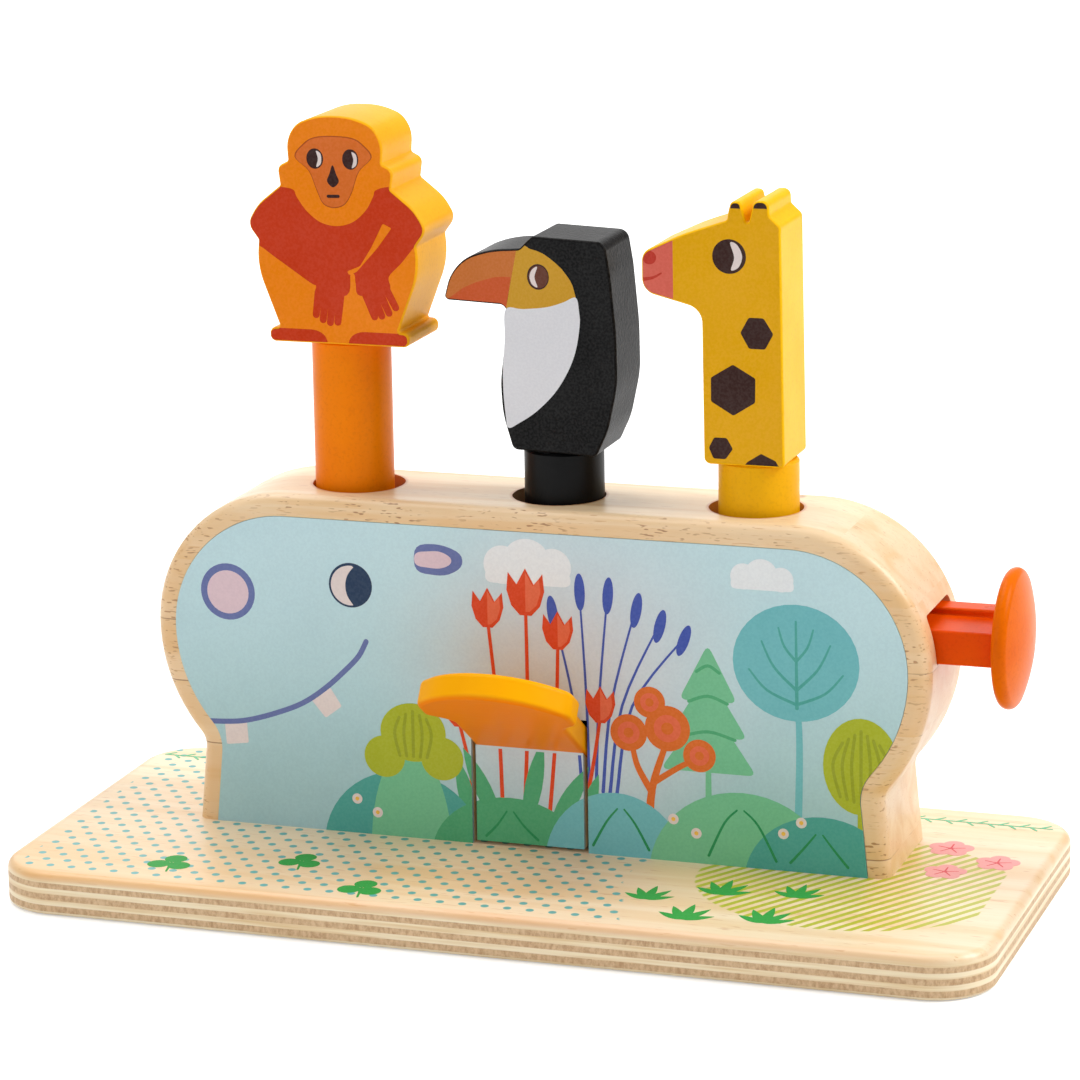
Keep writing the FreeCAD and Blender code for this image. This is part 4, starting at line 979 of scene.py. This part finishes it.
for x, y, size in ((-92, -44, 5.6), (-58, -33, 5.4), (-34, -50, 5.6)):
    stem = stroke([(x, y), (x + 1.6, y - size * 1.3)], 0.9, 0.6)
    base_print.lay(grass_green, *clover(x, y, size), stem)
for x, y, size in ((42, -38, 10), (60, -29, 11), (80, -26, 10), (56, -51, 11), (77, -48, 11)):
    base_print.lay(grass_green, *grass(x, y, size))
for x, y, size in ((110, 26, 6.4), (125, 17, 6.2), (113, 6, 6.0)):
    base_print.lay(pink, *flower(x, y, size))
    veins = []
    for t in PETAL_ANGLES:
        tip = (x + size * 0.6 * math.cos(t), y + size * 0.6 * math.sin(t))
        veins.append(stroke([(x, y), tip], 0.6, 0.4))
    base_print.lay(rosy, *veins)
LEAF_GAP = 3
for left, y, count in ((88, 50, 15), (-134, 50, 8)):
    twigs = [stroke([(left, y), (left + LEAF_GAP * count, y)], 0.6)]
    for k in range(count):
        root = left + LEAF_GAP * k
        twigs.append(stroke([(root, y), (root + 2.2, y + 2.4 * (-1) ** k)], 0.8, 0.6))
    base_print.lay(mint, *twigs)
base_print.finish()

# %% [markdown]
# The animals are printed on their front side only. The monkey has red arms and feet, a
# tan face and small dark eyes whose whites show on the right; the hands are drawn
# plainly, a palm and four fingers.

# %% Monkey's print
red_fur = ink("ink_red_fur", 204, 56, 12)
tan_face = ink("ink_tan_face", 222, 112, 40)
tan_rim = ink("ink_tan_rim", 176, 78, 22)
brown_eye = ink("ink_brown_eye", 56, 30, 28)
MONKEY_FRONT = 3.05
monkey = Print(
    "monkey_print", "monkey_figure", "monkey", "monkey_paint", "front", MONKEY_FRONT)
# The front's printed ground is a darker orange than the side paint: partly painted shade on the
# front, which faces away from the key lamp.
shaded_front_orange = ink("ink_shaded_front_orange", 246, 134, 0)
monkey.lay(shaded_front_orange, rectangle(-95, -20, 140, 220), trim=True)
body = [
    (-73.4, 192.3), (-69.2, 191.6), (-68.1, 189.6), (-65.4, 185.9), (-61.4, 182.9),
    (-56.6, 182.0), (-51.9, 183.3), (-48.1, 186.6), (-45.9, 190.4), (-45.0, 192.3),
    (-40.5, 193.4), (-30.5, 193.5), (-26, 183), (-32.2, 179.4), (-34.3, 177.2),
    (-38.2, 172.5), (-41.9, 168.6), (-42.0, 165.0), (-50.4, 163.0), (-51.6, 166.4),
    (-51.8, 168.6), (-53.0, 169.0), (-54.2, 163.0), (-63.0, 162.5), (-63.2, 165.2),
    (-65.0, 166.1), (-74.9, 172.6), (-80.6, 176.2), (-88, 178.0), (-88, 186), (-80, 193)]
monkey.lay(red_fur, through(body), trim=True)
fingers = [
    ((-62.5, 163.5), (-63.4, 157.2)), ((-60.4, 163), (-61.4, 155.9)),
    ((-58.2, 163), (-59.3, 155.2)), ((-56.0, 163.5), (-57.1, 155.4)),
    ((-49.2, 164.6), (-46.3, 157.4)), ((-47.2, 165), (-44.2, 157.7)),
    ((-45.2, 165.4), (-42.1, 158.6)), ((-43.2, 166), (-40.1, 160.2))]
monkey.lay(red_fur, *[stroke(finger, 2.3, 2.05) for finger in fingers])
arm_gap = corners(
    (-43.3, 183.2), (-40.8, 182.0), (-45.1, 176.3), (-51.2, 169.6),
    (-53.4, 168.6), (-54.0, 169.6), (-50.2, 171.2), (-46.8, 176.4))
monkey.lay(shaded_front_orange, softened(arm_gap, 0.5))
left_foot = corners((-80, 153.0), (-63.4, 153.0), (-60.6, 151.4), (-59.6, 147), (-80, 147))
right_foot = corners((-54.7, 147), (-53.7, 151.4), (-50.9, 153.0), (-34, 153.0), (-34, 147))
monkey.lay(red_fur, softened(left_foot, 1.8), softened(right_foot, 1.8), trim=True)
mask = [
    (-57.2, 206.4), (-51.7, 206.0), (-48.8, 204.4), (-46.3, 201.1), (-50.0, 197.1),
    (-52.2, 191.3), (-54.3, 188.2), (-57.3, 187.2), (-60.3, 188.2), (-62.1, 191.8),
    (-64.2, 196.9), (-68.1, 200.6), (-65.4, 204.2), (-62.3, 205.9)]
FACE_X, FACE_Z, RIM_GROWTH = -57.3, 197.2, 1.03
mask_rim = [(FACE_X + (x - FACE_X) * RIM_GROWTH, FACE_Z + (z - FACE_Z) * RIM_GROWTH)
            for x, z in mask]
monkey.lay(tan_rim, through(mask_rim))
monkey.lay(tan_face, through(mask))
monkey.lay(brown_eye, oval(-62.5, 200.3, 2.45, 2.8), oval(-52.2, 200.4, 2.35, 2.8))
glint = [(0.5, 202.4), (1.7, 201.8), (2.0, 200.3), (1.7, 198.8), (0.5, 198.1), (1.0, 200.3)]
for eye in (-62.6, -52.3):
    monkey.lay(cream, through([(eye + x, z) for x, z in glint]))
nose = [(-57.4, 198.7), (-56.4, 196.2), (-55.7, 194.2), (-57.4, 192.6), (-59.1, 194.2),
        (-58.4, 196.2)]
monkey.lay(brown_eye, through(nose), stroke([(-58.9, 190.1), (-56.0, 190.2)], 0.9))
monkey.finish()

# %% [markdown]
# The toucan is black with a white breast, a yellow face and a tan beak whose lower
# half is red. The white of its brown eye shows on the left.

# %% Toucan's print
beak_tan = ink("ink_beak_tan", 204, 116, 54)
beak_red = ink("ink_beak_red", 206, 90, 44)
face_yellow = ink("ink_face_yellow", 208, 156, 44)
breast_white = ink("ink_breast", 226, 226, 230)
eye_brown = ink("ink_eye_brown", 104, 60, 46)
TOUCAN_FRONT = 4.1
toucan = Print(
    "toucan_print", "toucan_figure", "toucan", "toucan_paint", "front", TOUCAN_FRONT)
black_front = ink("ink_black_front", 9, 9, 10, 0.4)
toucan.lay(black_front, rectangle(-40, 30, 115, 190), trim=True)
upper_beak = corners(
    (-5.7, 176.6), (-5.0, 182), (-32, 182), (-32, 156), (-8.6, 158.0), (-8.8, 161.1))
lower_beak = corners(
    (-7.3, 169.9), (-9.8, 169.9), (-12.3, 169.6), (-17.1, 168.1), (-20.9, 166.4),
    (-24.3, 163.9), (-29, 161), (-29, 156), (-8.6, 156), (-8.7, 161.1))
face = corners(
    (-5.7, 176.6), (-5.2, 180), (-1.8, 177.9), (0.2, 177.4), (2.0, 176.7), (3.9, 175.5),
    (5.7, 174.1), (7.2, 172.8), (8.4, 171.3), (9.5, 169.8), (10.3, 168.2), (11.1, 165.1),
    (7.4, 163.5), (2.7, 162.0), (-4.0, 161.2), (-8.8, 160.9))
toucan.lay(beak_tan, upper_beak, trim=True)
toucan.lay(beak_red, lower_beak, trim=True)
toucan.lay(face_yellow, face, trim=True)
breast = [
    (-8.9, 161.0), (-4.0, 161.3), (2.7, 162.1), (7.4, 163.6), (11.1, 165.1), (12.0, 161.1),
    (12.1, 157.5), (10.9, 150.6), (8.5, 144.5), (4.6, 138.4), (-0.7, 133.1), (-5.5, 129.8),
    (-8.6, 128.3), (-9.3, 131.2), (-9.9, 138.1), (-9.9, 145.0), (-9.3, 152.8)]
toucan.lay(breast_white, through(breast))
toucan.lay(brown_eye, oval(0.5, 170.3, 3.1, 3.5))
toucan.lay(eye_brown, oval(0.6, 170.3, 2.75, 3.1))
glint = [(0.3, 173.0), (-1.2, 172.2), (-1.9, 170.2), (-1.2, 168.2), (0.3, 167.5), (-0.5, 170.2)]
toucan.lay(cream, through(glint))
toucan.finish()

# %% [markdown]
# The giraffe has a pink muzzle, a round dark eye whose white shows on the right, dark
# six sided patches and dark tips on its horns.

# %% Giraffe's print
muzzle_pink = ink("ink_muzzle", 222, 104, 88)
nose_red = ink("ink_nose", 196, 58, 44)
patch_brown = ink("ink_patch", 58, 34, 30)
# The front's printed ground is a darker yellow than the side paint: partly painted shade on the
# front, which faces away from the key lamp.
shaded_front_yellow = ink("ink_shaded_front_yellow", 234, 172, 0)
GIRAFFE_FRONT = 3.8
giraffe = Print(
    "giraffe_print", "giraffe_figure", "giraffe", "giraffe_paint", "front", GIRAFFE_FRONT)
giraffe.lay(shaded_front_yellow, rectangle(20, 75, 115, 200), trim=True)
giraffe.lay(muzzle_pink, corners((38.4, 186), (20, 186), (20, 162), (38.5, 162)), trim=True)
mouth = stroke([(29.2, 170.9), (32.8, 171.6), (35.2, 172.9)], 1.1, 0.4)
giraffe.lay(nose_red, oval(31.9, 177.0, 1.95, 1.85), mouth, trim=True)
giraffe.lay(patch_brown, oval(54.0, 178.2, 4.65))
glint = [(54.3, 181.9), (56.2, 181.4), (57.6, 178.4), (56.6, 175.4), (54.5, 174.6), (55.4, 178.0)]
giraffe.lay(cream, through(glint))
patches = (
    ((54.9, 149.1), (61.1, 145.6), (61.0, 139.0), (55.0, 135.2), (48.8, 138.8), (48.8, 145.3)),
    ((59.3, 162.0), (63.4, 162.0), (66.1, 157.8), (63.8, 153.6), (59.4, 153.6), (57.0, 157.8)),
    ((49.6, 129.0), (53.1, 129.0), (54.8, 126.1), (52.8, 123.2), (49.4, 123.2), (48.1, 126.1)))
giraffe.lay(patch_brown, *[softened(corners(*patch), 0.5) for patch in patches])
low_patch = corners((56.5, 119.5), (58.7, 122.7), (62.6, 125.2), (66.6, 123.4), (69, 119.5))
horn_tips = (rectangle(52.5, 58.4, 191.1, 196), rectangle(59.5, 66, 191.3, 196))
giraffe.lay(patch_brown, low_patch, *horn_tips, trim=True)
giraffe.finish()

# %% [markdown]
# The studio is a wide white floor under a soft even light, with one large lamp from
# the upper right that leaves the printed fronts in gentle shade. What the camera sees
# of the floor is lifted to white, but the toy's own shadow still falls on it.

# %% Floor
FLOOR_SIZE = 14
FLOOR_LEVEL = -0.0002
GLOW_RANGE = (250.0, 1500.0)

bpy.ops.mesh.primitive_plane_add(size=FLOOR_SIZE, location=(0, 0, FLOOR_LEVEL))
floor = bpy.context.object
floor.name = "studio_floor"
floor_finish = Finish("studio_floor")
seen = floor_finish.node("ShaderNodeLightPath", output="Is Camera Ray")
reflected = floor_finish.node("ShaderNodeLightPath", output="Is Glossy Ray")
passed = floor_finish.node("ShaderNodeLightPath", output="Is Transmission Ray")
direct = (seen + reflected + passed).limited()
cloth = floor_finish.node("ShaderNodeBsdfDiffuse", inputs={"Color": (0.8, 0.8, 0.8, 1.0)})
floor_x, floor_y = floor_finish.axis("X"), floor_finish.axis("Y")
away = (floor_x * floor_x + floor_y * floor_y).root().step(*GLOW_RANGE)
glow = floor_finish.mix(away, (0.4, 0.4, 0.4, 1.0), (0.95, 0.95, 0.95, 1.0))
bright = floor_finish.node("ShaderNodeEmission", inputs={"Color": glow, "Strength": 1.0})
nothing = floor_finish.node("ShaderNodeEmission", inputs={"Strength": 0.0})
lifted = floor_finish.node("ShaderNodeMixShader", inputs={0: direct, 1: nothing, 2: bright})
both = floor_finish.node("ShaderNodeAddShader", inputs={0: cloth, 1: lifted})
floor_finish.node_out(both)
floor.data.materials.append(floor_finish.material)

# %% Lamps and sky
WHITE = (1.0, 1.0, 1.0, 1.0)
FILL_STRENGTH = 0.42

world = bpy.data.worlds.new("studio")
bpy.context.scene.world = world
world.use_nodes = True
sky = world.node_tree
sky.nodes.clear()
path, seen_sky, fill, backdrop, choice, end = (
    sky.nodes.new("ShaderNode" + kind) for kind in (
        "LightPath", "Math", "Background", "Background", "MixShader", "OutputWorld"))
seen_sky.operation = "MAXIMUM"
fill.inputs["Strength"].default_value = FILL_STRENGTH
for light in (fill, backdrop):
    light.inputs["Color"].default_value = WHITE
for start, goal in (
        (path.outputs["Is Camera Ray"], seen_sky.inputs[0]),
        (path.outputs["Is Transmission Ray"], seen_sky.inputs[1]),
        (seen_sky.outputs[0], choice.inputs[0]), (fill.outputs[0], choice.inputs[1]),
        (backdrop.outputs[0], choice.inputs[2]), (choice.outputs[0], end.inputs["Surface"])):
    sky.links.new(start, goal)


def lamp(name, place, aim, wide, power):
    """A square soft lamp that points at a spot."""
    bpy.ops.object.light_add(type="AREA", location=place)
    made = bpy.context.object
    made.name = name
    made.data.shape = "SQUARE"
    made.data.size = wide
    made.data.energy = power
    made.rotation_euler = (Vector(place) - Vector(aim)).to_track_quat("Z", "Y").to_euler()
    made.visible_camera = False


lamp("key_lamp", (1.3, 0.25, 1.25), (0, 0, 0.1), 0.9, 22)
lamp("top_lamp", (-0.6, 0.3, 1.7), (0, 0, 0.1), 1.2, 18)
lamp("back_lamp", (-0.9, 2.4, 0.9), (0, 0, 0.1), 2.0, 12)
lamp("front_lamp", (-0.9, -1.6, 0.7), (0, 0, 0.08), 1.2, 7)
bpy.context.scene.view_settings.view_transform = "Standard"
print("studio ready")

# %% The end
bpy.ops.object.select_all(action="DESELECT")
